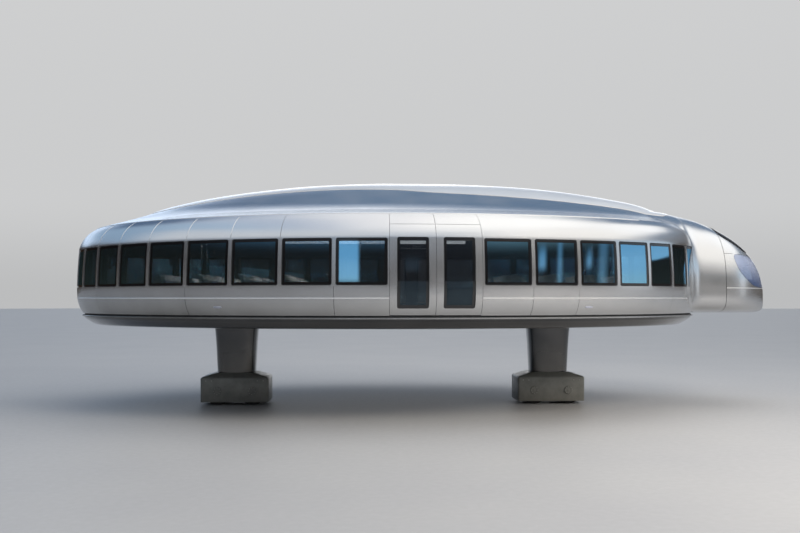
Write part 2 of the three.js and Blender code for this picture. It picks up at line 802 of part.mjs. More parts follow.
function makeSeats() {
  for (const [name, { first, count, step }] of Object.entries(SEAT_ROWS)) {
    const z = FLOOR_TOP + TOUCH_GAP;
    const rowXs = Array.from({ length: count }, (_, i) => first + step * i);
    const forward = SEAT_OUTLINE.map(([x]) => x);
    const front = Math.max(...forward);
    const back = Math.min(...forward);
    const y = -SEAT_AISLE - SEAT_RUNNER.fromAisle;
    const { half, height } = SEAT_RUNNER;
    const low = Math.min(...rowXs);
    const high = Math.max(...rowXs);
    let block = solid(box(low, high + front, y - half, y + half, z, z + height));
    for (const x of rowXs) {
      const reach = Math.min(...[x + back, x + front].map((end) => hullHalfWidthAt(end, SEAT_WALL_GAP)));
      block = block.add(solid(sidePrism(standing(SEAT_OUTLINE, x, z), -reach, -SEAT_AISLE)));
    }
    addPair(`seats_${name}`, geometryOf(block), seatFabric);
  }
}

function tube(from, to, radius, steps = 6) {
  const length = from.distanceTo(to);
  const geometry = new THREE.CylinderGeometry(radius, radius, length, steps);
  const direction = to.clone().sub(from).normalize();
  const turn = new THREE.Quaternion().setFromUnitVectors(new THREE.Vector3(0, 1, 0), direction);
  return geometry.applyQuaternion(turn).translate(...from.clone().add(to).multiplyScalar(0.5).toArray());
}

function makeGrabRails() {
  const y = -SEAT_AISLE + RAIL_FROM_AISLE;
  const at = (x, z) => new THREE.Vector3(x, y, z);
  let rails = solid(tube(at(RAIL_REAR_X, RAIL_Z), at(RAIL_FRONT_X, RAIL_Z), RAIL_R));
  for (const x of POST_X) {
    rails = rails.add(solid(tube(at(x, FLOOR_TOP + TOUCH_GAP), at(x, CEILING_Z - TOUCH_GAP), RAIL_R)));
  }
  addPair('grab_rail', geometryOf(rails), railSteel);
}

function makeCab() {
  const z = FLOOR_TOP + CAB_FLOOR_GAP;
  const seat = standing(DRIVER_SEAT_OUTLINE, 0, z);
  add('driver_seat', sidePrism(seat, -DRIVER_SEAT_HALF_WIDTH, DRIVER_SEAT_HALF_WIDTH), seatFabric);
  const desk = standing(DESK_OUTLINE, 0, z);
  add('driver_desk', sidePrism(desk, -DESK_HALF_WIDTH, DESK_HALF_WIDTH), blockMetal);
}

// Legs, feet and wheels

function makeLegs() {
  LEG_X.forEach((legX, i) => {
    const rings = LEG_LEVELS.map(({ z, halfX, halfY }) => Array.from({ length: LEG_STEPS }, (_, j) => {
      const angle = (2 * Math.PI * (j + 0.5)) / LEG_STEPS;
      return new THREE.Vector3(
        legX + halfX * signedPower(Math.cos(angle), LEG_POWER),
        halfY * signedPower(Math.sin(angle), LEG_POWER),
        z,
      );
    }));
    add(`leg_${LEG_NAMES[i]}`, loft(rings), darkGloss);
  });
}

function roundedRect(halfX, halfY, radius, z, steps = 2) {
  const points = [];
  const corners = [[1, 1, 0], [-1, 1, 1], [-1, -1, 2], [1, -1, 3]];
  for (const [sx, sy, quarter] of corners) {
    for (let i = 0; i <= steps; i += 1) {
      const angle = (quarter + i / steps) * (Math.PI / 2);
      points.push(new THREE.Vector3(
        sx * (halfX - radius) + radius * Math.cos(angle),
        sy * (halfY - radius) + radius * Math.sin(angle),
        z,
      ));
    }
  }
  return points;
}

function footGeometry() {
  const outside = loft([
    roundedRect(FOOT_HALF_LENGTH, FOOT_HALF_WIDTH, 60, FOOT_BOTTOM),
    roundedRect(FOOT_HALF_LENGTH, FOOT_HALF_WIDTH, 60, FOOT_SIDE_TOP - 40),
    roundedRect(FOOT_HALF_LENGTH - 30, FOOT_HALF_WIDTH - 16, 60, FOOT_SIDE_TOP),
    roundedRect(FOOT_TOP_HALF_LENGTH + 90, FOOT_TOP_HALF_WIDTH + 20, 90, FOOT_TOP - 34),
    roundedRect(FOOT_TOP_HALF_LENGTH, FOOT_TOP_HALF_WIDTH, 120, FOOT_TOP),
  ]);
  const skin = FOOT_SKIN;
  const well = loft([
    roundedRect(FOOT_HALF_LENGTH - skin, FOOT_HALF_WIDTH - skin, 20, FOOT_BOTTOM - 50),
    roundedRect(FOOT_HALF_LENGTH - skin, FOOT_HALF_WIDTH - skin, 20, FOOT_SIDE_TOP - 40),
    roundedRect(FOOT_TOP_HALF_LENGTH + 60, FOOT_TOP_HALF_WIDTH - 20, 20, WHEEL_R * 2 + 12),
  ]);
  let foot = solid(outside).subtract(solid(well));
  const ring = axleLathe([
    [0, FOOT_TOP - 20],
    [SLEW_RING_R, FOOT_TOP - 20],
    [SLEW_RING_R, SLEW_RING_TOP],
    [0, SLEW_RING_TOP],
  ], SMALL_ROUND_STEPS).rotateX(Math.PI / 2);
  foot = foot.add(solid(ring));
  for (const x of [-AXLE_OFFSET, AXLE_OFFSET]) {
    for (const side of [-1, 1]) {
      const face = FOOT_HALF_WIDTH;
      const cap = axleLathe([
        [0, face - 20],
        [CAP_R, face - 20],
        [CAP_R, face + CAP_PROUD - 8],
        [CAP_R - 12, face + CAP_PROUD],
        [0, face + CAP_PROUD],
      ], SMALL_ROUND_STEPS).translate(x, 0, WHEEL_R);
      foot = foot.add(solid(side < 0 ? mirrored(cap) : cap));
    }
    const bore = axleLathe([
      [0, -AXLE_HALF_LENGTH - 5],
      [BORE_R, -AXLE_HALF_LENGTH - 5],
      [BORE_R, AXLE_HALF_LENGTH + 5],
      [0, AXLE_HALF_LENGTH + 5],
    ], WHEEL_STEPS).translate(x, 0, WHEEL_R);
    foot = foot.subtract(solid(bore));
  }
  return geometryOf(foot);
}

// One wheel of the axle, from its inner to its outer side
function rimProfile(side) {
  const inner = side * (TYRE_Y - TYRE_HALF_WIDTH);
  const outer = side * (TYRE_Y + TYRE_HALF_WIDTH);
  const dish = side * RIM_DISH;
  return [
    [AXLE_R, inner + dish],
    [RIM_R - RIM_DISH, inner + dish],
    [RIM_R, inner],
    [RIM_R, outer],
    [RIM_R - RIM_DISH, outer - dish],
    [AXLE_R, outer - dish],
  ];
}

function wheelsetProfile() {
  return [
    [0, -AXLE_HALF_LENGTH],
    [AXLE_R, -AXLE_HALF_LENGTH],
    ...rimProfile(-1).reverse(),
    ...rimProfile(1),
    [AXLE_R, AXLE_HALF_LENGTH],
    [0, AXLE_HALF_LENGTH],
  ];
}

function tyreProfile() {
  const y = TYRE_HALF_WIDTH;
  const inside = RIM_R + TYRE_FIT_GAP;
  return [
    [inside, -y],
    [WHEEL_R - TYRE_SHOULDER, -y],
    [WHEEL_R, TYRE_SHOULDER - y],
    [WHEEL_R, y - TYRE_SHOULDER],
    [WHEEL_R - TYRE_SHOULDER, y],
    [inside, y],
    [inside, -y],
  ];
}

function makeFeet() {
  const foot = footGeometry();
  const wheel = axleLathe(wheelsetProfile(), WHEEL_STEPS);
  const tyre = axleLathe(tyreProfile(), WHEEL_STEPS);
  const sides = { right: -TYRE_Y, left: TYRE_Y };
  LEG_X.forEach((legX, i) => {
    add(`foot_${LEG_NAMES[i]}`, foot, footMetal).position.x = legX;
    [AXLE_OFFSET, -AXLE_OFFSET].forEach((offset, axle) => {
      const label = `${LEG_NAMES[i]}_${axle + 1}`;
      add(`wheelset_${label}`, wheel, wheelSteel).position.set(legX + offset, 0, WHEEL_R);
      for (const [side, y] of Object.entries(sides)) {
        add(`tyre_${label}_${side}`, tyre, tyreRubber).position.set(legX + offset, y, WHEEL_R);
      }
    });
  });
}

makeUnderside();
makeWalls();
makeDoors();
makeGlazing();
makePod();
makeRoof();
makeCeiling();
makeSeats();
makeGrabRails();
makeCab();
makeLegs();
makeFeet();

export default car;
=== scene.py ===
# The looks of an elevated monorail car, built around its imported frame.
# Metres. +X is the nose, +Y the car's left side, +Z up, and the rail surface is Z = 0.

import math
from contextlib import contextmanager

import bmesh
import bpy
import numpy as np
from mathutils import Matrix, Vector


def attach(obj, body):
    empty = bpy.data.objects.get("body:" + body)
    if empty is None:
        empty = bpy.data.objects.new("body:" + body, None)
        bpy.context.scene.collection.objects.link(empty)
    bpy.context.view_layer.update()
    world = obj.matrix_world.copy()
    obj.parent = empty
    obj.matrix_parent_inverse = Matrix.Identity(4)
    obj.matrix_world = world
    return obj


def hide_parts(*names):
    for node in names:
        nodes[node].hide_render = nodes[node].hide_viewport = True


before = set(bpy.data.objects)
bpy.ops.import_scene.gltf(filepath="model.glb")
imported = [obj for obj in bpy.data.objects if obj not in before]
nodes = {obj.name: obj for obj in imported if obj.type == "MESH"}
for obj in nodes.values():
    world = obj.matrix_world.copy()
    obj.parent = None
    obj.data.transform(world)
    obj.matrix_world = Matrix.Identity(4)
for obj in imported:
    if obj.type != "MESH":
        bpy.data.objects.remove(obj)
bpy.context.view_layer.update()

# Hull plan: two half ellipses that meet at the widest place
HULL_X = -0.98
HULL_REAR = 7.55
HULL_FRONT = 7.75
HULL_HALF_WIDTH = 5.12

# Hull wall: height and inset from the widest line
WALL_LEVELS = [
    (2.280, 0.140),
    (2.420, 0.062),
    (2.628, 0.012),
    (2.890, 0.000),
    (3.845, 0.048),
    (4.050, 0.118),
    (4.230, 0.250),
    (4.370, 0.445),
]
WALL_BOTTOM = 2.280
SHOULDER_EDGE_Z = 4.370
WALL_SKIN = 0.040
LINING_DEPTH = 0.088

# Windows. Rows of panes behind and ahead of the doors: count, first pitch and how fast it falls
WINDOW_BOTTOM = 2.890
WINDOW_TOP = 3.845
WINDOW_CORNER = 0.045
MULLION_HALF = 0.038
REAR_PANES = (7, 1.125, 0.0052)
FRONT_PANES = (6, 1.105, 0.0085)
TAIL_PANES = 7
NOSE_SIDE_PANE = 0.720
WIDEST_PANE = 2.0
PANE_DEPTH = 0.016
PANE_THICKNESS = 0.008
PANE_GAP = 0.004
FRIT_WIDTH = 0.062
GASKET_WIDTH = 0.009
REBATE_HALF = 0.020

# Grid of the wall: rows under and over the windows, and steps along it and up it
LOW_WALL_ROWS = [
    2.280, 2.286, 2.300, 2.330, 2.370, 2.420, 2.480, 2.550, 2.600, 2.628, 2.680, 2.740, 2.800, 2.850, 2.868,
]
HIGH_WALL_ROWS = [
    3.868, 3.900, 3.950, 4.000, 4.050, 4.100, 4.150, 4.200, 4.240, 4.280, 4.310, 4.335, 4.355, 4.366, 4.370,
]
HOLE_STEP = 0.11
WINDOW_STEP_UP = 0.16
PASSAGE_STEP_UP = 0.20
WALL_STEP = 0.12
WIDEST_STEP = 0.16
HOLE_SURROUND = 0.022
PANE_STEP = 0.14
PANE_STEP_UP = 0.3
LINING_STEP = 0.3
LINING_COLUMN_STEP = 0.5
MULLION_CLEARANCE = 0.1
LINING_THICKNESS = 0.040

# Doors
DOOR_REAR_X = -1.030
DOOR_MID_X = -0.088
DOOR_FRONT_X = 0.855
DOOR_BOTTOM = 2.290
DOOR_TOP = 4.120
DOOR_GLASS_BOTTOM = 2.425
DOOR_GLASS_TOP = 3.860
DOOR_GLASS_SIDE = 0.148
DOOR_FRIT = 0.060
DOOR_EDGE = 0.004
DOOR_LOW_ROWS = (DOOR_BOTTOM, 2.400, 6)
DOOR_HEAD_ROWS = [3.885, 3.910]
DOOR_HIGH_ROWS = (3.950, DOOR_TOP - DOOR_EDGE, 7)
DOOR_COLUMN_GAP = 0.020
DOOR_COLUMNS = 16
HEADER_ROW = 4.135
PANEL_GAP = 0.007
SEAL_HALF = 0.022
SEAL_DEPTH = 0.041
SEAL_THICKNESS = 0.005

# Passage through the wall into the nose
PASSAGE_HALF = 0.550
PASSAGE_BOTTOM = 2.340
PASSAGE_TOP = 4.150

# Seams and trim on the wall, with the mullions whose seams run down to its foot
REAR_SEAMS = (1, 4, 7)
FRONT_SEAMS = (1, 2, 5)
SEAM_HALF = 0.0055
SEAM_FLOOR_HALF = 0.0025
SEAM_DEPTH = 0.007
RIB_RADIUS = 0.007
RIB_ENDS = (3.950, 4.345)
RIB_FIRST = 3
RIB_PROUD = 0.8
BEAD_PROUD = 0.75
TRIM_GAP = 0.010
MARKER_X = (-4.56, 3.20)
MARKER_Z = 2.446
MARKER_HALF_LENGTH = 0.095
MARKER_HALF_HEIGHT = 0.022
MARKER_RINGS = [
    (1.00, 0.012),
    (1.00, -0.003),
    (0.94, -0.006),
    (0.84, -0.006),
    (0.80, -0.004),
    (0.50, -0.008),
    (0.15, -0.009),
]
BELT_Z = 2.628
TAIL_SAG = 0.07
BELT_RADIUS = 0.013
SHOULDER_BEAD_Z = SHOULDER_EDGE_Z - 0.004
SHOULDER_BEAD_RADIUS = 0.008
SHOULDER_BEAD_FRONT_X = 4.90
BELT_FRONT_X = 5.90

# Roof rings: height, reach behind and ahead of the widest place, half width
ROOF_RINGS = [
    (4.372, 7.105, 7.305, 4.675),
    (4.450, 6.920, 7.180, 4.050),
    (4.560, 6.560, 7.060, 3.300),
    (4.730, 6.000, 6.850, 2.580),
    (4.920, 5.380, 6.400, 2.020),
    (5.110, 4.480, 5.500, 1.510),
    (5.270, 3.330, 4.460, 1.040),
    (5.390, 2.040, 3.250, 0.600),
    (5.470, 0.300, 1.500, 0.110),
    (5.473, 0.010, 0.010, 0.005),
]
ROOF_FOOT_STEPS = (0, 0.03, 0.08)
ROOF_STEPS = (0.15, len(ROOF_RINGS) - 1.02, 70)
ROOF_THICKNESS = 0.045

# The roof's inside is inset from its outside up to a ring number
ROOF_INSET = 0.050
ROOF_INSET_RINGS = 5

# Ridge cap's outline: place along the car, half width
CAP_SINK = 0.020
CAP_THICKNESS = 0.024
CAP_EDGE = 0.008
CAP_OUTLINE = [
    (-6.980, 0.004),
    (-6.560, 0.600),
    (-6.080, 0.900),
    (-5.400, 1.010),
    (-2.600, 1.050),
    (-0.900, 1.150),
    (0.200, 1.370),
    (2.070, 1.480),
    (3.400, 1.500),
    (4.200, 1.420),
    (5.100, 1.280),
    (5.640, 1.210),
    (5.890, 0.930),
    (6.010, 0.500),
    (6.050, 0.004),
]

# Lip and belly: inset from the hull's widest line, height
LIP_PROFILE = [
    (0.150, 2.203),
    (0.128, 2.205),
    (0.122, 2.211),
    (0.122, 2.229),
    (0.128, 2.236),
    (0.150, 2.238),
    (0.172, 2.239),
    (0.178, 2.244),
    (0.178, 2.262),
    (0.382, 2.262),
    (0.382, 2.203),
]
# Height over which the lip's faces are black, painted shade in its groove
LIP_GROOVE_Z = 2.2375
BELLY_PROFILE = [
    (0.165, 2.199),
    (0.182, 2.170),
    (0.250, 2.120),
    (0.370, 2.045),
    (0.440, 2.012),
    (0.500, 2.000),
]
BELLY_Z = 2.000
BELLY_FLOOR_INSETS = (0.9, 1.8, 2.9, 4.0)
BELLY_INSIDE = [
    (0.210, 2.199),
    (0.300, 2.160),
    (1.500, 2.060),
]

# Jacking pads, four round each leg
PAD_SINK = 0.005
PAD_HALF = 0.130
PAD_BOTTOM = 1.980
PAD_X = 1.150
PAD_Y = 1.500

# Nose pod: place along the car, half width, top, bottom
POD_SECTIONS = [
    (5.220, 2.440, 4.825, 2.272),
    (5.770, 2.310, 4.760, 2.272),
    (6.020, 2.190, 4.725, 2.272),
    (6.190, 2.010, 4.695, 2.272),
    (6.370, 1.900, 4.655, 2.272),
    (6.670, 1.830, 4.575, 2.272),
    (7.050, 1.740, 4.420, 2.272),
    (7.440, 1.600, 4.215, 2.272),
    (7.800, 1.365, 3.970, 2.272),
    (8.130, 1.030, 3.640, 2.272),
    (8.320, 0.750, 3.315, 2.285),
    (8.435, 0.530, 3.050, 2.320),
    (8.500, 0.330, 2.850, 2.400),
    (8.530, 0.130, 2.670, 2.500),
]
POD_WAIST_Z = 2.860
POD_MIDDLE_SECTION = 7.0
POD_TOP_POWER = 2.5
POD_FLANK_POWER = 5.0
POD_LATEST_X = 6.950
POD_TUCK = 0.0015
NOSE_SEAM_X = 7.050
NOSE_SEAM_HALF = 0.006
BUMPER_SEAM_Z = 2.870
BUMPER_SEAM_HALF = 0.003
BUMPER_TRIM_RADIUS = 0.010
BUMPER_TRIM_STRETCHES = [(NOSE_SEAM_X + 0.010, 8.200, 60), (8.220, 8.497, 26)]
POD_SKIN = 0.035

# Rings that close the nose's tip: share of the last ring's size, and reach past it
NOSE_TIP = [
    (0.60, 0.0072),
    (0.20, 0.0082),
    (0.01, 0.0085),
]

# Slot over each headlamp, and the box that all cuts of the nose stay in
NOSE_SLOT_X = (6.970, 7.300)
NOSE_SLOT_Y = 0.900
NOSE_SLOT_Z = (3.697, 3.705)
CUT_X = (6.5, 9.5)
CUT_Y = 4.0
CUT_Z = (1.5, 6.0)

# Windscreen: half its outline in plan
SCREEN_OUTLINE = [
    (7.080, 1.040),
    (7.140, 1.120),
    (7.300, 1.140),
    (7.640, 1.095),
    (7.780, 1.010),
    (7.930, 0.760),
    (8.020, 0.450),
]
SCREEN_CROWN = 0.018
SCREEN_DEPTH = 0.020
SCREEN_GAP = 0.004
SCREEN_LOW_Z = 3.300
SCREEN_SURROUND = 0.055
SURROUND_DROP = 0.200

# Headlamps: outline seen from the side. Projectors: place, height, radius; bowl: share of radius, depth
LAMP_OUTLINE = [
    (7.285, 3.695),
    (7.590, 3.680),
    (7.900, 3.640),
    (8.180, 3.600),
    (8.420, 3.330),
    (8.600, 2.885),
    (7.960, 2.885),
    (7.720, 3.030),
    (7.530, 3.170),
    (7.380, 3.380),
]
LAMP_INNER_Y = 0.150
LAMP_SIDE_GAP = 0.003
LAMP_DEPTH = 0.110
LENS_THICKNESS = 0.012
LENS_GAP = 0.004
HOUSING_THICKNESS = 0.010
HOUSING_GAP = 0.002
HOUSING_END_X = 8.380
RIM_SINK = 0.003
RIM_WIDTH = 0.020
PROJECTOR_SETBACK = 0.105
PROJECTOR_TURN = 38
PROJECTORS = [
    (7.660, 3.440, 0.075),
    (7.900, 3.270, 0.070),
    (8.120, 3.080, 0.060),
]
PROJECTOR_BOWL = [
    (0.00, 0.020),
    (0.55, 0.020),
    (0.90, -0.020),
    (1.00, -0.045),
    (0.90, -0.050),
    (0.72, -0.038),
    (0.62, -0.030),
    (0.00, -0.050),
]

# Legs: height, half length, half width; rings between a low and a high place, and their count
LEGS = {"front": 3.110, "rear": -4.710}
LEG_LEVELS = [
    (0.792, 0.470, 0.400),
    (1.880, 0.540, 0.440),
    (1.960, 0.580, 0.480),
    (1.9995, 0.660, 0.560),
]
LEG_POWER = 3.0
LEG_RINGS = [(0.792, 1.850, 20), (1.860, 1.9995, 12)]

# Wheels and axles
WHEEL_R = 0.350
AXLE_OFFSET = 0.425
TYRE_Y = 0.330
TYRE_HALF_WIDTH = 0.095
RIM_R = 0.250
RIM_DISH = 0.040
AXLE_R = 0.050
AXLE_HALF_LENGTH = 0.505
AXLES = {
    f"{end}_{number}": x + way * AXLE_OFFSET
    for end, x in LEGS.items()
    for number, way in ((1, 1), (2, -1))
}

# Tyre's side from its bead to its tread: radius, and bulge past half the width
TYRE_SIDE = [
    (0.2525, 0.000),
    (0.270, 0.001),
    (0.300, 0.000),
    (0.324, -0.001),
    (0.338, -0.008),
    (0.346, -0.018),
    (WHEEL_R, -0.030),
]
TREAD_GROOVES = (-0.038, 0.0, 0.038)
GROOVE = [
    (-0.007, 0.000),
    (-0.005, 0.011),
    (0.005, 0.011),
    (0.007, 0.000),
]

# Half a wheelset, from the middle outwards: radius and distance from the middle
WHEEL_IN = TYRE_Y - TYRE_HALF_WIDTH
WHEEL_OUT = TYRE_Y + TYRE_HALF_WIDTH
WHEELSET_PROFILE = [
    (AXLE_R, WHEEL_IN + RIM_DISH - 0.012),
    (AXLE_R + 0.030, WHEEL_IN + RIM_DISH - 0.012),
    (AXLE_R + 0.050, WHEEL_IN + RIM_DISH),
    (RIM_R - RIM_DISH, WHEEL_IN + RIM_DISH),
    (RIM_R - 0.018, WHEEL_IN + 0.012),
    (RIM_R - 0.012, WHEEL_IN),
    (RIM_R, WHEEL_IN),
    (RIM_R, WHEEL_OUT),
    (RIM_R - 0.012, WHEEL_OUT),
    (RIM_R - 0.018, WHEEL_OUT - 0.012),
    (RIM_R - RIM_DISH, WHEEL_OUT - RIM_DISH),
    (AXLE_R + 0.050, WHEEL_OUT - RIM_DISH),
    (AXLE_R + 0.030, WHEEL_OUT - RIM_DISH + 0.020),
    (AXLE_R, WHEEL_OUT - RIM_DISH + 0.020),
    (AXLE_R, AXLE_HALF_LENGTH - 0.004),
    (AXLE_R - 0.004, AXLE_HALF_LENGTH),
    (0, AXLE_HALF_LENGTH),
]

# Rings of bolts: ring's radius, count, head's radius and height
WHEEL_NUTS = (0.125, 10, 0.013, 0.016)
CAP_BOLTS = (0.08058, 8, 0.009, 0.008)
CAP_BOLT_SINK = 0.003

# Feet: half length, half width, corner radius, height, up the outside and up the well
FOOT_OUTSIDE = [
    (0.829, 0.514, 0.056, 0.075),
    (0.835, 0.520, 0.060, 0.083),
    (0.835, 0.520, 0.060, 0.650),
    (0.805, 0.504, 0.060, 0.690),
    (0.610, 0.460, 0.090, 0.750),
    (0.520, 0.440, 0.120, 0.784),
]
FOOT_WELL = [
    (0.793, 0.478, 0.020, 0.075),
    (0.793, 0.478, 0.020, 0.650),
    (0.580, 0.420, 0.020, 0.712),
]
FOOT_SIDE_Y = 0.520
FOOT_CORNER_REACH = 0.007
SIDE_BOLTS_X = (-0.700, -0.560, 0.560, 0.700)
SIDE_BOLTS_Z = 0.600
SIDE_BOLT = (0.013, 0.012)
SLEW_RING_PROFILE = [
    (0, 0.764),
    (0.330, 0.764),
    (0.330, 0.7885),
    (0.327, 0.7915),
    (0, 0.7915),
]
FOOT_CAP_R = 0.102
FOOT_CAP_PROUD = 0.026
FOOT_CAP_PROFILE = [
    (0, -0.020),
    (FOOT_CAP_R, -0.020),
    (FOOT_CAP_R, FOOT_CAP_PROUD - 0.012),
    (FOOT_CAP_R - 0.003, FOOT_CAP_PROUD - 0.005),
    (FOOT_CAP_R - 0.010, FOOT_CAP_PROUD),
    (FOOT_CAP_R * 0.62, FOOT_CAP_PROUD),
    (FOOT_CAP_R * 0.58, FOOT_CAP_PROUD - 0.007),
    (FOOT_CAP_R * 0.34, FOOT_CAP_PROUD - 0.007),
    (FOOT_CAP_R * 0.30, FOOT_CAP_PROUD - 0.001),
    (0, FOOT_CAP_PROUD - 0.001),
]

# Cabin. Light strips: distance from the middle, half width, height and half length
FLOOR_TOP = 2.330
CAB_FLOOR = 2.350
CEILING_Z = 4.300
CABIN_GAP = 0.001
CEILING_STRIPS = [(1.20, 0.20, 0.020, 5.4), (3.85, 0.12, 0.085, 3.0)]
STRIP_FRONT_GAP = 0.600
STRIP_BEVEL = 0.006

# Grab rails
RAIL_ENDS = (-5.730, 4.370)
RAIL_Y = 0.390
RAIL_Z = 4.120
RAIL_R = 0.019
RAIL_SIDES = 16
POST_R = 0.018
POST_X = (-5.530, -1.630, 1.320, 4.170)
POST_HEIGHTS = (FLOOR_TOP + CABIN_GAP, 3.0, 3.6, CEILING_Z - CABIN_GAP)
CLAMP_PROFILE = [
    (0, -0.035),
    (0.024, -0.035),
    (0.027, -0.030),
    (0.027, 0.030),
    (0.024, 0.035),
    (0, 0.035),
]
FLANGE_PROFILE = [
    (0, 0),
    (0.045, 0),
    (0.045, 0.0072),
    (0.040, 0.012),
    (0, 0.012),
]
FLANGE_HEIGHTS = (FLOOR_TOP + CABIN_GAP, CEILING_Z - 0.013)

# Passenger seats: first place, count and step of the rows in each block
SEAT_ROWS = {"rear": (-2.180, 5, -0.900), "front": (1.820, 4, 0.900)}
SEAT_AISLE = 0.450
SEAT_WALL_GAP = 0.400
SEAT_BACK_X = -0.200
SEAT_FRONT_X = 0.470
SEAT_SPACING = 0.480
SEAT_WIDTH = 0.440
SEAT_GAP = 0.030
SEAT_LEAN = math.radians(18)
HEAD_COVER_FROM = 0.070
PLINTH_X = (0.065, 0.325)
PLINTH_TOP = 0.270
PLINTH_GAP = 0.004
PLINTH_BEVEL = 0.008
BRACKET_LOW = (0.100, -0.050, 0.268)
BRACKET_HIGH = (0.290, 0.050, 0.322)

# Pads: length, width, thickness, cells each way, and the level of the flat side
SEAT_CUSHION = (0.400, 0.410, 0.070, 8, -0.028)
SEAT_CUSHION_PLACE = (0.245, 0, 0.385)
SEAT_REST = (0.385, 0.400, 0.062, 8, -0.026)
SEAT_REST_PLACE = (-0.050, 0, 0.610)
DRIVER_CUSHION = (0.450, 0.500, 0.100, 14, -0.040)
DRIVER_CUSHION_PLACE = (7.105, 0, CAB_FLOOR + 0.375)
DRIVER_REST = (0.560, 0.460, 0.085, 14, -0.034)
DRIVER_REST_PLACE = (6.795, 0, CAB_FLOOR + 0.730)
DRIVER_HEAD = (0.170, 0.280, 0.070, 8, -0.030)
DRIVER_HEAD_PLACE = (6.722, 0, CAB_FLOOR + 1.135)
DRIVER_ARM = (0.300, 0.060, 0.045, 6, -0.020)
DRIVER_ARM_PLACES = [(6.980, y, CAB_FLOOR + 0.600) for y in (-0.247, 0.247)]
DRIVER_LEAN = math.atan2(0.120, 0.820)

# Seat shells: width, thickness and how far the edges turn up, then the outline seen from the side
SEAT_SHELL_SIZES = (SEAT_WIDTH, 0.013, 0.030)
SEAT_SHELL = [
    (0.450, 0.345),
    (0.330, 0.328),
    (0.120, 0.328),
    (0.010, 0.365),
    (-0.055, 0.470),
    (-0.130, 0.700),
    (-0.168, 0.812),
]
DRIVER_SHELL_SIZES = (0.500, 0.022, 0.035)
DRIVER_SHELL = [
    (7.330, CAB_FLOOR + 0.330),
    (7.200, CAB_FLOOR + 0.305),
    (6.960, CAB_FLOOR + 0.300),
    (6.850, CAB_FLOOR + 0.345),
    (6.795, CAB_FLOOR + 0.450),
    (6.735, CAB_FLOOR + 0.850),
    (6.705, CAB_FLOOR + 1.030),
]
SHELL_ACROSS = (-1, -0.93, -0.82, -0.6, 0, 0.6, 0.82, 0.93, 1)

# Driver's seat post, arm posts and head posts
PEDESTAL_X = 7.020
PEDESTAL_PROFILE = [
    (0, 0.002),
    (0.150, 0.002),
    (0.150, 0.030),
    (0.085, 0.050),
    (0.070, 0.200),
    (0.115, 0.262),
    (0.115, 0.290),
    (0, 0.290),
]
ARM_POST_Y = 0.247
ARM_POST_R = 0.012
ARM_POST = [
    (6.830, CAB_FLOOR + 0.400),
    (6.860, CAB_FLOOR + 0.560),
    (7.090, CAB_FLOOR + 0.580),
]
HEAD_POST_Y = 0.060
HEAD_POST_R = 0.008
HEAD_POST = [
    (6.748, CAB_FLOOR + 0.980),
    (6.722, CAB_FLOOR + 1.160),
]

# Driver's desk, and what is on its sloping panel
DESK_HALF_WIDTH = 0.600
DESK_GAP = 0.004
DESK_BEVEL = 0.010
PANEL_PLACE = (7.665, 0, CAB_FLOOR + 0.741)
PANEL_SLOPE = math.atan2(0.080, 0.270)
DISPLAY_Y = (-0.360, 0.000, 0.360)
DISPLAY_HALF = (0.085, 0.135)
DISPLAY_Z = (-0.002, 0.010)
DISPLAY_BEVEL = 0.003
GRIP_PLACES = [(-0.075, -0.180), (-0.075, 0.180)]
GRIP_PROFILE = [
    (0, 0),
    (0.006, 0),
    (0.006, 0.030),
    (0.015, 0.036),
    (0.017, 0.046),
    (0.010, 0.054),
    (0, 0.055),
]
BUTTON_PLACES = [(x, y) for x in (-0.015, 0.030, 0.075) for y in (-0.200, 0.200)]
BUTTON_PROFILE = [
    (0, -0.002),
    (0.011, -0.002),
    (0.011, 0.006),
    (0.008, 0.009),
    (0, 0.009),
]
DESK_OUTLINE = [
    (7.620, 0.000),
    (7.920, 0.000),
    (7.920, 0.620),
    (7.800, 0.780),
    (7.530, 0.700),
    (7.530, 0.620),
    (7.620, 0.580),
]

# Cloth of the pads
PAD_STEPS = 20
PAD_PRESSURE = 4.0
PAD_CAP = 0.012


# Curves and outlines


def monotone_curve(places, values):
    """A smooth curve through the points that never swings past them."""
    places = np.asarray(places, float)
    values = np.asarray(values, float)
    steps = np.diff(places)
    slopes = np.diff(values) / steps
    tangents = np.zeros(len(places))
    tangents[0] = slopes[0]
    tangents[-1] = slopes[-1]
    for i in range(1, len(places) - 1):
        if slopes[i - 1] * slopes[i] > 0:
            tangents[i] = 2 * slopes[i - 1] * slopes[i] / (slopes[i - 1] + slopes[i])

    def curve(place):
        place = np.clip(np.asarray(place, float), places[0], places[-1])
        i = np.clip(np.searchsorted(places, place, side="right") - 1, 0, len(places) - 2)
        t = (place - places[i]) / steps[i]
        return (
            values[i] * (1 + 2 * t) * (1 - t) ** 2
            + tangents[i] * steps[i] * t * (1 - t) ** 2
            + values[i + 1] * t * t * (3 - 2 * t)
            + tangents[i + 1] * steps[i] * t * t * (t - 1)
        )

    return curve


def rounded(outline, rounds=3):
    """A closed outline with its corners cut back again and again."""
    points = np.asarray(outline, float)
    for _ in range(rounds):
        after = np.roll(points, -1, axis=0)
        points = np.stack([points * 0.75 + after * 0.25, points * 0.25 + after * 0.75], 1)
        points = points.reshape(-1, 2)
    return points


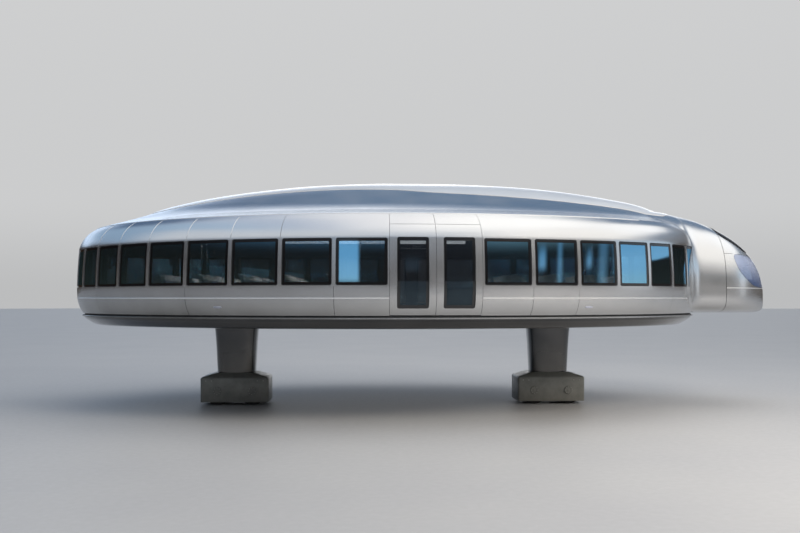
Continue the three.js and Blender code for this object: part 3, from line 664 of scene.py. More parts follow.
def inset_outline(points, distance):
    """A closed outline whose edges all move inwards by a distance."""
    points = np.asarray(points, float)
    before = points - np.roll(points, 1, axis=0)
    after = np.roll(points, -1, axis=0) - points
    before /= np.linalg.norm(before, axis=1)[:, None]
    after /= np.linalg.norm(after, axis=1)[:, None]
    x, y = points.T
    turn = np.sign(np.sum(x * np.roll(y, -1) - np.roll(x, -1) * y))
    normal = np.stack([-before[:, 1] - after[:, 1], before[:, 0] + after[:, 0]], 1)
    normal /= np.linalg.norm(normal, axis=1)[:, None]
    lean = np.sum(normal * np.stack([-before[:, 1], before[:, 0]], 1), axis=1)
    return points + turn * distance * normal / np.maximum(lean, 0.4)[:, None]


wall_inset = monotone_curve(*zip(*WALL_LEVELS))
ring_number = np.arange(len(ROOF_RINGS))
roof_z, roof_rear, roof_front, roof_half = [
    monotone_curve(ring_number, column) for column in zip(*ROOF_RINGS)
]
section_number = np.arange(len(POD_SECTIONS))
pod_x, pod_half, pod_top, pod_bottom = [
    monotone_curve(section_number, column) for column in zip(*POD_SECTIONS)
]


# The hull's surface


def plan_point(angle, reach_rear, reach_front, half):
    reach = np.where(np.sin(angle) > 0, reach_front, reach_rear)
    return HULL_X + reach * np.sin(angle), -half * np.cos(angle)


arc_angles = np.linspace(-2 * math.pi, 2 * math.pi, 8001)
arc_x, arc_y = plan_point(arc_angles, HULL_REAR, HULL_FRONT, HULL_HALF_WIDTH)
arc_lengths = np.concatenate([[0], np.cumsum(np.hypot(np.diff(arc_x), np.diff(arc_y)))])
arc_lengths -= np.interp(0, arc_angles, arc_lengths)


def arc_of(angle):
    return np.interp(angle, arc_angles, arc_lengths)


def angle_of(arc):
    return np.interp(arc, arc_lengths, arc_angles)


def hull_surface(arc, z, depth=0.0):
    """Points on the wall: a place along its widest line, a height, and a depth below the surface."""
    angle = angle_of(arc)
    inset = wall_inset(z)
    slope = (wall_inset(z + 0.001) - wall_inset(z - 0.001)) / 0.002
    reach = np.where(np.sin(angle) > 0, HULL_FRONT, HULL_REAR) - inset
    half = HULL_HALF_WIDTH - inset
    x = reach * np.sin(angle)
    y = -half * np.cos(angle)
    normal = np.stack([
        x / reach**2,
        y / half**2,
        slope * (x**2 / reach**3 + y**2 / half**3),
    ], -1)
    normal /= np.linalg.norm(normal, axis=-1)[..., None]
    points = np.stack([HULL_X + x, y, np.broadcast_to(z, x.shape)], -1)
    return points - normal * np.asarray(depth)[..., None]


def door_arc(x):
    reach = HULL_FRONT if x > HULL_X else HULL_REAR
    return float(arc_of(math.asin((x - HULL_X) / reach)))


def mullions_from(start, panes, direction):
    count, first, fall = panes
    pitches = [first - fall * k * k for k in range(1, count + 1)]
    return [start] + [start + direction * sum(pitches[:k]) for k in range(1, count + 1)]


door_rear, door_mid, door_front = door_arc(DOOR_REAR_X), door_arc(DOOR_MID_X), door_arc(DOOR_FRONT_X)
TAIL_ARC = float(arc_of(-math.pi / 2))
NOSE_ARC = float(arc_of(math.pi / 2))
rear_mullions = mullions_from(door_rear, REAR_PANES, -1)
front_mullions = mullions_from(door_front, FRONT_PANES, 1)
front_mullions.append(front_mullions[-1] + NOSE_SIDE_PANE)


def tail_mullions():
    first = float(angle_of(rear_mullions[-1]))
    turn = -math.pi - 2 * first
    return [float(arc_of(first + turn * k / TAIL_PANES)) for k in range(TAIL_PANES + 1)]


def across_tail(arcs):
    """The same places on the left side, carried round the tail."""
    return [2 * TAIL_ARC - arc for arc in arcs]


def across_nose(arcs):
    return [2 * NOSE_ARC - arc for arc in arcs]


# Roof


def roof_ring_at(x, y):
    """Which ring of the roof passes over a place in plan, as a ring number with a fraction."""
    low = np.zeros(np.shape(x))
    high = np.full(np.shape(x), len(ROOF_RINGS) - 1.001)
    for _ in range(36):
        middle = (low + high) / 2
        reach = np.where(x > HULL_X, roof_front(middle), roof_rear(middle))
        outside = ((x - HULL_X) / reach) ** 2 + (y / roof_half(middle)) ** 2 > 1
        high = np.where(outside, middle, high)
        low = np.where(outside, low, middle)
    return (low + high) / 2


def roof_height(x, y):
    return roof_z(roof_ring_at(x, y))


# Pod


def signed_power(value, power):
    return np.sign(value) * np.abs(value) ** (2 / power)


def pod_surface(section, angle, grow=0.0):
    top = pod_top(section) + grow
    bottom = pod_bottom(section) - grow
    waist = np.minimum(POD_WAIST_Z, (top + bottom) / 2)
    upper = np.sin(angle) > 0
    power = np.where(upper, POD_TOP_POWER, POD_FLANK_POWER)
    reach = np.where(upper, top - waist, waist - bottom)
    half = np.maximum(pod_half(section) + grow, 0.004)
    x = pod_x(section) + np.clip(section - (len(POD_SECTIONS) - 3), 0, 1) * grow
    y = half * signed_power(np.cos(angle), power)
    z = waist + np.maximum(reach, 0.004) * signed_power(np.sin(angle), power)
    return np.stack([np.broadcast_to(x, y.shape), y, z], -1)


fine_sections = np.linspace(0, len(POD_SECTIONS) - 1, 4000)
fine_pod_x = pod_x(fine_sections)


def section_at(x):
    return np.interp(x, fine_pod_x, fine_sections)


def pod_half_width(x, z):
    """Half the pod's width at a place along it and a height."""
    section = section_at(x)
    top, bottom = pod_top(section), pod_bottom(section)
    waist = np.minimum(POD_WAIST_Z, (top + bottom) / 2)
    upper = z > waist
    power = np.where(upper, POD_TOP_POWER, POD_FLANK_POWER)
    share = np.where(upper, (z - waist) / (top - waist), (waist - z) / (waist - bottom))
    return pod_half(section) * (1 - np.clip(share, 0, 1) ** power) ** (1 / power)


def even_pod_angles(count):
    """Angles that lie evenly round a middle section of the pod."""
    dense = np.linspace(0, 2 * math.pi, 6001)
    ring = pod_surface(np.full(dense.shape, POD_MIDDLE_SECTION), dense)
    lengths = np.concatenate([[0], np.cumsum(np.linalg.norm(np.diff(ring, axis=0), axis=1))])
    return np.interp(np.linspace(0, lengths[-1], count, endpoint=False), lengths, dense)


def pod_height(x, y):
    """The pod's height over a place in plan, or nothing beside it."""
    section = section_at(x)
    share = np.clip(np.abs(y) / pod_half(section), 0, 1)
    rise = (1 - share**POD_TOP_POWER) ** (1 / POD_TOP_POWER)
    height = POD_WAIST_Z + (pod_top(section) - POD_WAIST_Z) * rise
    return np.where(x < POD_SECTIONS[0][0], 0.0, height)


def crown_height(x, y):
    """The height of the roof or the pod, whichever is over the other."""
    return np.maximum(roof_height(x, y), pod_height(x, y))


# Materials


SECOND_SHADE = 0.88
COAT_ROUGHNESS = 0.05
BUMP_HEIGHT = 0.002
THREAD_HEIGHT = 0.0015
DIRT_AND_SHADE_SCALE = 1.6
DIRT_AND_SHADE_LEAST = 0.72
# Stretch along the car over which the silver's painted shade towards the tail grows
TAIL_SHADE_REACH = (0.0, -5.0)


class Graph:
    """Adds nodes to a tree. A socket that is given is linked, and a plain value is set."""

    def __init__(self, tree):
        self.tree = tree

    def put(self, socket, value):
        if isinstance(value, bpy.types.NodeSocket):
            self.tree.links.new(value, socket)
        else:
            socket.default_value = (*value, 1) if isinstance(value, tuple) else value

    def add(self, kind, inputs=(), output=0, **settings):
        node = self.tree.nodes.new(f"ShaderNode{kind}")
        for name, value in settings.items():
            setattr(node, name, value)
        for socket, value in dict(inputs).items():
            self.put(node.inputs[socket], value)
        return node.outputs[output] if node.outputs else None

    def split(self, vector):
        return tuple(self.add("SeparateXYZ", {0: vector}).node.outputs)

    def math(self, operation, *values):
        return self.add("Math", enumerate(values), operation=operation)

    def mixed(self, factor, first, other, mode="MIX"):
        inputs = {"Factor": factor, "A": first, "B": other}
        return self.add("Mix", inputs, "Result", data_type="RGBA", blend_type=mode)

    def ranged(self, source, from_low, from_high, to_low=0.0, to_high=1.0, shape="LINEAR"):
        inputs = {
            "Value": source,
            "From Min": from_low,
            "From Max": from_high,
            "To Min": to_low,
            "To Max": to_high,
        }
        return self.add("MapRange", inputs, "Result", interpolation_type=shape)

    def noise(self, place, scale, detail=4.0):
        return self.add("TexNoise", {"Vector": place, "Scale": scale, "Detail": detail}, "Fac")

    def relief(self, height, strength, distance):
        return self.add("Bump", {"Height": height, "Strength": strength, "Distance": distance}, "Normal")


def opened(material):
    """A material's graph and its shader's inputs."""
    tree = material.node_tree
    return Graph(tree), tree.nodes["Principled BSDF"].inputs


def surface(name, color, second=None, spread_scale=3.0, metallic=0.0, roughness=0.4, rough_spread=0.06,
            rough_scale=8.0, bump=0.0, bump_scale=60.0, coat=0.0, sheen=0.0, alpha=1.0, ior=1.5,
            mirror_tint=(1.0, 1.0, 1.0), dirt_and_shade=0.0, painted_tail_shade=0.0, dirt_and_shade_color=(0.16, 0.15, 0.13),
            dirt_and_shade_low=2.1, dirt_and_shade_high=2.9):
    """A finish whose colour, roughness and relief vary over the surface."""
    material = bpy.data.materials.new(name)
    material.use_nodes = True
    graph, shader = opened(material)
    place = graph.add("TexCoord", output="Object")
    second = second or tuple(channel * SECOND_SHADE for channel in color)
    tint = graph.mixed(graph.ranged(graph.noise(place, spread_scale), 0.3, 0.7), color, second)
    # Darker towards the foot of a band of heights, and towards the tail: painted shade on the silver wall and
    # the headlamps, a plain darkening towards the ground on the legs and feet
    if dirt_and_shade:
        along, _, height = graph.split(place)
        dirt_and_shade_share = graph.ranged(height, dirt_and_shade_low, dirt_and_shade_high, dirt_and_shade, 0)
        # Painted shade: darker still towards the tail
        if painted_tail_shade:
            more = graph.ranged(along, *TAIL_SHADE_REACH, 0, painted_tail_shade)
            dirt_and_shade_share = graph.math("MULTIPLY_ADD", dirt_and_shade_share, more, dirt_and_shade_share)
        patches = graph.ranged(graph.noise(place, DIRT_AND_SHADE_SCALE, 6.0), 0.25, 0.75, DIRT_AND_SHADE_LEAST, 1)
        tint = graph.mixed(graph.math("MULTIPLY", dirt_and_shade_share, patches), tint, dirt_and_shade_color)
    rough_ends = (max(roughness - rough_spread, 0), roughness + rough_spread)
    settings = {
        "Base Color": tint,
        "Metallic": metallic,
        "Roughness": graph.ranged(graph.noise(place, rough_scale), 0.3, 0.7, *rough_ends),
        "IOR": ior,
        "Alpha": alpha,
        "Specular Tint": mirror_tint,
        "Coat Weight": coat,
        "Coat Roughness": COAT_ROUGHNESS,
        "Sheen Weight": sheen,
    }
    if bump:
        settings["Normal"] = graph.relief(graph.noise(place, bump_scale, 6.0), bump, BUMP_HEIGHT)
    for socket, value in settings.items():
        graph.put(shader[socket], value)
    return material


def woven(name, color, second, scale):
    """Fabric: crossed threads in colour and relief."""
    material = surface(name, color, second, spread_scale=9.0, roughness=0.85, sheen=0.4)
    graph, shader = opened(material)
    place = graph.tree.nodes["Texture Coordinate"].outputs["Object"]
    wave = {"Vector": place, "Scale": scale, "Distortion": 1.5}
    threads = [graph.add("TexWave", wave, "Fac", bands_direction=direction) for direction in ("X", "Z")]
    graph.put(shader["Normal"], graph.relief(graph.math("MULTIPLY", *threads), 0.6, THREAD_HEIGHT))
    return material


def glowing(name, color, strength):
    material = surface(name, color, roughness=0.5)
    graph, shader = opened(material)
    graph.put(shader["Emission Color"], color)
    graph.put(shader["Emission Strength"], strength)
    return material


# Silver paint, darker towards the wall's foot and more so towards the tail: painted shade standing in for
# dark reflections of the ground and surroundings
silver = surface("silver_paint", (0.69, 0.70, 0.71), (0.66, 0.67, 0.68), spread_scale=0.45, metallic=0.93,
                 roughness=0.24, rough_spread=0.03, rough_scale=1.4, coat=0.3, painted_tail_shade=1.3,
                 dirt_and_shade=0.45, dirt_and_shade_low=2.15, dirt_and_shade_high=3.05, dirt_and_shade_color=(0.15, 0.145, 0.135))
# The ridge cap's finish: paler and less metallic than the body's silver, a painted highlight along the crest
cap_highlight_paint = surface("ridge_cap_highlight_paint", (0.90, 0.90, 0.89), (0.87, 0.87, 0.86), spread_scale=0.5,
                    metallic=0.38, roughness=0.2, rough_spread=0.03, rough_scale=1.6, coat=0.4)
bright = surface("bright_trim", (0.86, 0.86, 0.86), (0.82, 0.82, 0.82), spread_scale=0.8, metallic=0.85,
                 roughness=0.36, rough_spread=0.04, rough_scale=2.0, coat=0.1)
seam_grey = surface("seam_grey", (0.22, 0.22, 0.225), roughness=0.6, bump=0.1)
rubber_and_shade_black = surface("gasket_rubber_and_groove_shade", (0.018, 0.018, 0.02), (0.03, 0.03, 0.03), roughness=0.55, bump=0.15)
frit_black = surface("window_border", (0.006, 0.007, 0.009), (0.010, 0.011, 0.013), roughness=0.07,
                     rough_spread=0.02, ior=1.6)
tinted = surface("window_glass", (0.006, 0.008, 0.012), (0.010, 0.013, 0.018), spread_scale=1.2,
                 roughness=0.03, rough_spread=0.015, rough_scale=1.2, alpha=0.72, ior=12.0,
                 mirror_tint=(0.32, 0.72, 1.0))
door_tint = surface("door_glass", (0.006, 0.008, 0.012), (0.010, 0.013, 0.018), spread_scale=1.2,
                    roughness=0.03, rough_spread=0.015, rough_scale=1.2, alpha=0.66, ior=1.7,
                    mirror_tint=(0.5, 0.8, 1.0))
screen_black = surface("windscreen_glass", (0.010, 0.011, 0.013), (0.014, 0.015, 0.018), roughness=0.14,
                       rough_spread=0.03, ior=1.15)
dark_gloss = surface("dark_gloss", (0.052, 0.054, 0.058), (0.035, 0.037, 0.041), spread_scale=1.5,
                     metallic=0.55, roughness=0.2, rough_spread=0.06, bump=0.03, bump_scale=90, coat=0.7,
                     dirt_and_shade=0.5, dirt_and_shade_low=0.8, dirt_and_shade_high=1.6)
foot_paint = surface("foot_metal", (0.30, 0.30, 0.27), (0.22, 0.222, 0.205), spread_scale=4.0, metallic=0.35,
                     roughness=0.42, rough_spread=0.12, bump=0.25, bump_scale=45,
                     dirt_and_shade=0.6, dirt_and_shade_low=0.05, dirt_and_shade_high=0.5)
chipped = surface("bare_steel", (0.62, 0.61, 0.58), (0.45, 0.42, 0.38), spread_scale=30, metallic=0.9,
                  roughness=0.35, rough_spread=0.1, bump=0.3, bump_scale=80)
tyre_rubber = surface("tyre_rubber", (0.03, 0.03, 0.031), (0.05, 0.048, 0.045), spread_scale=6, roughness=0.8,
                      bump=0.5, bump_scale=120)
wheel_steel = surface("wheel_steel", (0.32, 0.32, 0.33), (0.22, 0.21, 0.2), spread_scale=12, metallic=0.85,
                      roughness=0.38, rough_spread=0.1, bump=0.15, bump_scale=70)
cabin_plastic = surface("cabin_plastic", (0.034, 0.034, 0.035), (0.026, 0.026, 0.027), roughness=0.55,
                        bump=0.15, bump_scale=400)
pale_plastic = surface("pale_plastic", (0.85, 0.85, 0.83), (0.78, 0.78, 0.77), roughness=0.4, bump=0.1,
                       bump_scale=300)
head_cover = surface("head_cover", (0.80, 0.80, 0.78), (0.72, 0.72, 0.70), roughness=0.6, bump=0.3,
                     bump_scale=220, sheen=0.2)
control_black = surface("control_black", (0.03, 0.031, 0.033), (0.045, 0.045, 0.047), roughness=0.35,
                        bump=0.1, bump_scale=250)
floor_rubber = surface("cabin_floor", (0.09, 0.095, 0.1), (0.13, 0.135, 0.14), spread_scale=60,
                       roughness=0.75, bump=0.4, bump_scale=150)
seat_cloth = woven("seat_fabric", (0.1, 0.15, 0.24), (0.16, 0.2, 0.28), 700)
rail_steel = surface("rail_steel", (0.72, 0.73, 0.74), (0.65, 0.66, 0.67), spread_scale=20, metallic=0.95,
                     roughness=0.2, bump=0.05, bump_scale=200)
block_metal = surface("block_metal", (0.1, 0.11, 0.12), (0.07, 0.075, 0.08), metallic=0.3, roughness=0.5,
                      bump=0.2, bump_scale=80)
# Headlamps: the blue of lens and reflector, with the reflector going from pale blue to dark navy, is a
# painted sky reflection; the navy towards their bottom is painted shade
lamp_glass = surface("lamp_lens", (0.44, 0.50, 0.66), (0.36, 0.43, 0.60), spread_scale=1.6, roughness=0.03,
                     rough_spread=0.01, alpha=0.52, ior=1.8, dirt_and_shade=0.85, dirt_and_shade_low=3.00, dirt_and_shade_high=3.50,
                     dirt_and_shade_color=(0.012, 0.050, 0.170))
lamp_chrome = surface("lamp_chrome", (0.62, 0.70, 0.88), (0.10, 0.14, 0.30), spread_scale=2.2, metallic=0.9,
                      roughness=0.12, bump=0.05, dirt_and_shade=1.0, dirt_and_shade_low=2.95, dirt_and_shade_high=3.5,
                      dirt_and_shade_color=(0.01, 0.02, 0.07))
lamp_pale = surface("marker_lens", (0.42, 0.44, 0.52), (0.34, 0.36, 0.44), roughness=0.12, rough_spread=0.03,
                    coat=0.8)
lamp_dark = surface("lamp_dark", (0.02, 0.022, 0.03), roughness=0.2)
cabin_light = glowing("cabin_light", (1.0, 0.97, 0.9), 16.0)
cove_light = glowing("cove_light", (0.85, 0.93, 1.0), 1.7)


# Making pieces


def set_smooth(mesh, sharp_degrees=35):
    mesh.shade_smooth()
    mesh.set_sharp_from_angle(angle=math.radians(sharp_degrees))


def coordinates(mesh):
    points = np.empty(len(mesh.vertices) * 3)
    mesh.vertices.foreach_get("co", points)
    return points.reshape(-1, 3)


def lower_tail(mesh):
    """Brings the tail end down, over the belt, by a share of the height over it."""
    points = coordinates(mesh)
    back = np.maximum(HULL_X - points[:, 0], 0) / HULL_REAR
    points[:, 2] -= TAIL_SAG * back**2 * np.maximum(points[:, 2] - BELT_Z, 0)
    mesh.vertices.foreach_set("co", points.ravel())


def piece_from(mesh, name, body="car", replaces=(), on_hull=True):
    """A piece of the scene from a mesh, or from several that are joined."""
    if isinstance(mesh, list):
        mesh = joined(mesh, name)
    if on_hull and body == "car":
        lower_tail(mesh)
    piece = bpy.data.objects.new(name, mesh)
    bpy.context.scene.collection.objects.link(piece)
    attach(piece, body)
    if replaces:
        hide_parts(*replaces)
    return piece


def add_both_sides(mesh, name, replaces=None, on_hull=True):
    """A mesh made for the right side, and its mirror image on the left."""
    if isinstance(mesh, list):
        mesh = joined(mesh, name)
    pieces = []
    other = mirrored_mesh(mesh, f"{name}_left")
    for side, copy in (("right", mesh), ("left", other)):
        swapped = [f"{replaces}_{side}"] if replaces else []
        pieces.append(piece_from(copy, f"{name}_{side}", replaces=swapped, on_hull=on_hull))
    return pieces


def mesh_from(name, points, faces, materials, face_materials=None):
    mesh = bpy.data.meshes.new(name)
    mesh.from_pydata(np.asarray(points, float).tolist(), [], faces)
    for material in materials:
        mesh.materials.append(material)
    if face_materials is not None:
        mesh.polygons.foreach_set("material_index", np.asarray(face_materials, np.int32))
    set_smooth(mesh)
    return mesh


def mirrored_mesh(mesh, name):
    """The same mesh on the car's other side."""
    copy = mesh.copy()
    copy.name = name
    copy.transform(Matrix.Scale(-1, 4, (0, 1, 0)))
    copy.flip_normals()
    return copy


def moved(mesh, place, turn=0.0, axis="X"):
    """Turns a mesh about one axis, in degrees, and moves it to a place."""
    mesh.transform(Matrix.Translation(place) @ Matrix.Rotation(math.radians(turn), 4, axis))
    return mesh


@contextmanager
def editing(mesh):
    """Opens a mesh for work on its corners and edges, and writes it back."""
    work = bmesh.new()
    work.from_mesh(mesh)
    yield work
    work.to_mesh(mesh)
    work.free()


def joined(meshes, name):
    """Several meshes as one, with their materials kept."""
    objects = []
    for mesh in meshes:
        obj = bpy.data.objects.new(name, mesh)
        bpy.context.scene.collection.objects.link(obj)
        objects.append(obj)
    with bpy.context.temp_override(active_object=objects[0], selected_editable_objects=objects):
        bpy.ops.object.join()
    mesh = objects[0].data
    bpy.data.objects.remove(objects[0])
    mesh.name = name
    return mesh


def grid_faces(rows, columns, start=0, around=False):
    """Quads of a grid of points, whose columns may close on themselves."""
    spans = columns if around else columns - 1
    return [
        (
            start + i * columns + j,
            start + i * columns + (j + 1) % columns,
            start + (i + 1) * columns + (j + 1) % columns,
            start + (i + 1) * columns + j,
        )
        for i in range(rows - 1)
        for j in range(spans)
    ]


def shell_mesh(name, outer, inner, materials):
    """A closed tube-like shell between two grids of rings, joined at both ends."""
    rows, columns = outer.shape[:2]
    count = rows * columns
    faces = grid_faces(rows, columns, 0, True)
    faces += [tuple(reversed(face)) for face in grid_faces(rows, columns, count, True)]
    for j in range(columns):
        k = (j + 1) % columns
        faces.append((k, j, count + j, count + k))
        last = (rows - 1) * columns
        faces.append((last + j, last + k, count + last + k, count + last + j))
    points = np.concatenate([outer.reshape(-1, 3), inner.reshape(-1, 3)])
    return outward(mesh_from(name, points, faces, materials))


def outward(mesh):
    """Turns a closed mesh's faces outwards."""
    work = bmesh.new()
    work.from_mesh(mesh)
    if work.calc_volume(signed=True) < 0:
        bmesh.ops.reverse_faces(work, faces=work.faces)
        work.to_mesh(mesh)
    work.free()
    return mesh


def ring_loft(name, rings, materials, closed=False):
    """Rings of equally many points, joined in turn: closed on itself, or capped at both ends."""
    rings = np.asarray(rings, float)
    rows, columns = rings.shape[:2]
    faces = grid_faces(rows, columns, 0, True)
    if closed:
        last = (rows - 1) * columns
        faces += [(last + j, last + (j + 1) % columns, (j + 1) % columns, j) for j in range(columns)]
    else:
        faces.append(tuple(reversed(range(columns))))
        faces.append(tuple(range((rows - 1) * columns, rows * columns)))
    return outward(mesh_from(name, rings.reshape(-1, 3), faces, materials))


def lathe_mesh(name, profile, steps, materials):
    """Radius and y pairs turned about the Y axis; the profile starts and ends on the axis or closes."""
    profile = np.asarray(profile, float)
    turn = np.linspace(0, 2 * math.pi, steps, endpoint=False)
    points = np.stack([
        profile[:, 0, None] * np.cos(turn),
        np.broadcast_to(profile[:, 1, None], (len(profile), steps)),
        profile[:, 0, None] * np.sin(turn),
    ], -1)
    if np.allclose(profile[0], profile[-1]):
        return ring_loft(name, points[:-1], materials, closed=True)
    mesh = ring_loft(name, points, materials)
    with editing(mesh) as work:
        bmesh.ops.remove_doubles(work, verts=work.verts, dist=1e-6)
    return mesh


def box_mesh(name, low, high, materials, bevel=0.004):
    """A block with rounded edges."""
    mesh = bpy.data.meshes.new(name)
    low, high = Vector(low), Vector(high)
    with editing(mesh) as work:
        bmesh.ops.create_cube(work, size=1)
        for vert in work.verts:
            vert.co = Vector([low[k] + (vert.co[k] + 0.5) * (high[k] - low[k]) for k in range(3)])
        if bevel:
            bmesh.ops.bevel(work, geom=work.edges[:], offset=bevel, segments=2, profile=0.5, affect="EDGES")
    for material in materials:
        mesh.materials.append(material)
    set_smooth(mesh)
    return mesh


def tube_mesh(name, points, radius, materials, sides=10):
    """A closed round tube through a few points."""
    points = [Vector(point) for point in points]
    rings = []
    for i, point in enumerate(points):
        before = points[max(i - 1, 0)]
        after = points[min(i + 1, len(points) - 1)]
        along = (after - before).normalized()
        side = along.cross(Vector((0.31, 0.52, 0.79))).normalized()
        up = along.cross(side)
        rings.append([
            point + radius * (math.cos(t) * side + math.sin(t) * up)
            for t in np.linspace(0, 2 * math.pi, sides, endpoint=False)
        ])
    return ring_loft(name, [[tuple(p) for p in ring] for ring in rings], materials)


def prism_mesh(name, outline, low, high, axis):
    """An outline carried along Z (plan outlines) or Y (side outlines)."""
    first, second = np.asarray(outline, float).T
    rings = []
    for level in (low, high):
        column = np.full(len(first), level)
        rings.append(np.stack((first, second, column) if axis == "Z" else (first, column, second), -1))
    return ring_loft(name, rings, [])


def carved(mesh, cutter, operation):
    """A mesh cut by, joined to or kept inside another."""
    scene = bpy.context.scene
    body = bpy.data.objects.new("carve_body", mesh)
    tool = bpy.data.objects.new("carve_tool", cutter)
    scene.collection.objects.link(body)
    scene.collection.objects.link(tool)
    modifier = body.modifiers.new("carve", "BOOLEAN")
    modifier.operation = operation
    modifier.solver = "EXACT"
    modifier.object = tool
    evaluated = body.evaluated_get(bpy.context.evaluated_depsgraph_get())
    result = bpy.data.meshes.new_from_object(evaluated)
    result.name = mesh.name
    bpy.data.objects.remove(body)
    bpy.data.objects.remove(tool)
    set_smooth(result, 30)
    return result


# Curved panels on the hull


def sorted_places(*groups):
    """All the places in order, with near doubles left out."""
    ordered = sorted(float(place) for group in groups for place in group)
    kept = ordered[:1]
    for place in ordered[1:]:
        if place - kept[-1] > 0.0008:
            kept.append(place)
    return kept


def hole_places(low, high, corner, step):
    """Grid places for a round-cornered hole: close at its corners, wider between."""
    near = [corner * k / 4 for k in range(5)]
    middle = max(int((high - low - 2 * corner) / step), 1)
    inner = np.linspace(low + corner, high - corner, middle + 1)
    return [low + t for t in near] + [high - t for t in near] + list(inner)


def lines_by_corner(places, edge, toward, corner):
    """Which grid lines lie within a corner's reach of a box's edge, on its inner side."""
    return np.where((np.abs(places - edge) <= corner + 1e-5) & ((places - edge) * toward >= -1e-5))[0]


def round_corners(arcs, heights, grid_s, grid_z, box, corner):
    """Moves the grid points on a box's edge so that its corners become arcs."""
    for corner_s, toward_s in ((box[0], 1), (box[1], -1)):
        for corner_z, toward_z in ((box[2], 1), (box[3], -1)):
            centre = (corner_s + toward_s * corner, corner_z + toward_z * corner)
            row = int(np.argmin(np.abs(heights - corner_z)))
            column = int(np.argmin(np.abs(arcs - corner_s)))
            for j in lines_by_corner(arcs, corner_s, toward_s, corner):
                turn = math.pi / 4 * (1 + abs(arcs[j] - corner_s) / corner)
                grid_s[row, j] = centre[0] - toward_s * corner * math.cos(turn)
                grid_z[row, j] = centre[1] - toward_z * corner * math.sin(turn)
            for i in lines_by_corner(heights, corner_z, toward_z, corner):
                turn = math.pi / 4 * (1 - abs(heights[i] - corner_z) / corner)
                grid_s[i, column] = centre[0] - toward_s * corner * math.cos(turn)
                grid_z[i, column] = centre[1] - toward_z * corner * math.sin(turn)


def panel_mesh(name, arcs, heights, materials, thickness, holes=(), corner=WINDOW_CORNER, seams=(), depth=0.0,
               outer_box=None, cell_material=None, back=False):
    """A curved panel of the hull with holes, seams cut into it and its edges turned in."""
    arcs = np.asarray(arcs, float)
    heights = np.asarray(heights, float)
    grid_s, grid_z = np.meshgrid(arcs, heights)
    grid_depth = np.full(grid_s.shape, depth)
    for place, low, high in seams:
        columns = np.where(np.abs(arcs - place) < SEAM_FLOOR_HALF + 1e-5)[0]
        rows = np.where((heights > low - 1e-5) & (heights < high + 1e-5))[0]
        grid_depth[np.ix_(rows, columns)] += SEAM_DEPTH
    if outer_box:
        round_corners(arcs, heights, grid_s, grid_z, outer_box, corner)
    for hole in holes:
        round_corners(arcs, heights, grid_s, grid_z, hole, corner)
    middle_s = (arcs[:-1] + arcs[1:]) / 2
    middle_z = (heights[:-1] + heights[1:]) / 2
    open_cell = np.zeros((len(heights) - 1, len(arcs) - 1), bool)
    for low_s, high_s, low_z, high_z in holes:
        inside_s = (middle_s > low_s) & (middle_s < high_s)
        inside_z = (middle_z > low_z) & (middle_z < high_z)
        open_cell |= np.outer(inside_z, inside_s)
    columns = len(arcs)
    faces = []
    kinds = []
    for i in range(len(heights) - 1):
        for j in range(columns - 1):
            if open_cell[i, j]:
                continue
            a = i * columns + j
            faces.append((a, a + 1, a + 1 + columns, a + columns))
            kind = 0
            if cell_material:
                kind = cell_material(middle_s[j], middle_z[i])
            elif grid_depth[i, j] > depth and grid_depth[i, j + 1] > depth and grid_depth[i + 1, j] > depth:
                kind = len(materials) - 1
            kinds.append(kind)
    edges = {}
    for number, face in enumerate(faces):
        for k in range(4):
            edges[(face[k], face[(k + 1) % 4])] = number
    rim = [(a, b, number) for (a, b), number in edges.items() if (b, a) not in edges]
    outer = hull_surface(grid_s, grid_z, grid_depth).reshape(-1, 3)
    inner = hull_surface(grid_s, grid_z, grid_depth + thickness).reshape(-1, 3)
    count = len(outer)
    front_faces = len(faces)
    for a, b, number in rim:
        faces.append((b, a, a + count, b + count))
        kinds.append(kinds[number])
    if back:
        for number in range(front_faces):
            faces.append(tuple(point + count for point in reversed(faces[number])))
            kinds.append(kinds[number])
    used = sorted({point for face in faces for point in face})
    renumber = {point: k for k, point in enumerate(used)}
    points = np.concatenate([outer, inner])[used]
    faces = [tuple(renumber[point] for point in face) for face in faces]
    return mesh_from(name, points, faces, materials, kinds)


def seam_columns(place):
    return [place - SEAM_HALF, place - SEAM_FLOOR_HALF, place, place + SEAM_FLOOR_HALF, place + SEAM_HALF]


window_rows = hole_places(WINDOW_BOTTOM, WINDOW_TOP, WINDOW_CORNER, WINDOW_STEP_UP)
wall_rows = sorted_places(LOW_WALL_ROWS, window_rows, HIGH_WALL_ROWS)


def window_box(low, high):
    return (low + MULLION_HALF, high - MULLION_HALF, WINDOW_BOTTOM, WINDOW_TOP)


def wall_columns(mullions, windows):
    groups = [seam_columns(place) for place in mullions]
    for box in windows:
        groups.append(hole_places(box[0], box[1], WINDOW_CORNER, HOLE_STEP))
        groups.append([box[0] - HOLE_SURROUND, box[1] + HOLE_SURROUND])
    return groups


def within(places, low, high):
    return [place for place in places if low - 1e-6 <= place <= high + 1e-6]


def grown(box, by):
    return (box[0] - by, box[1] + by, box[2] - by, box[3] + by)


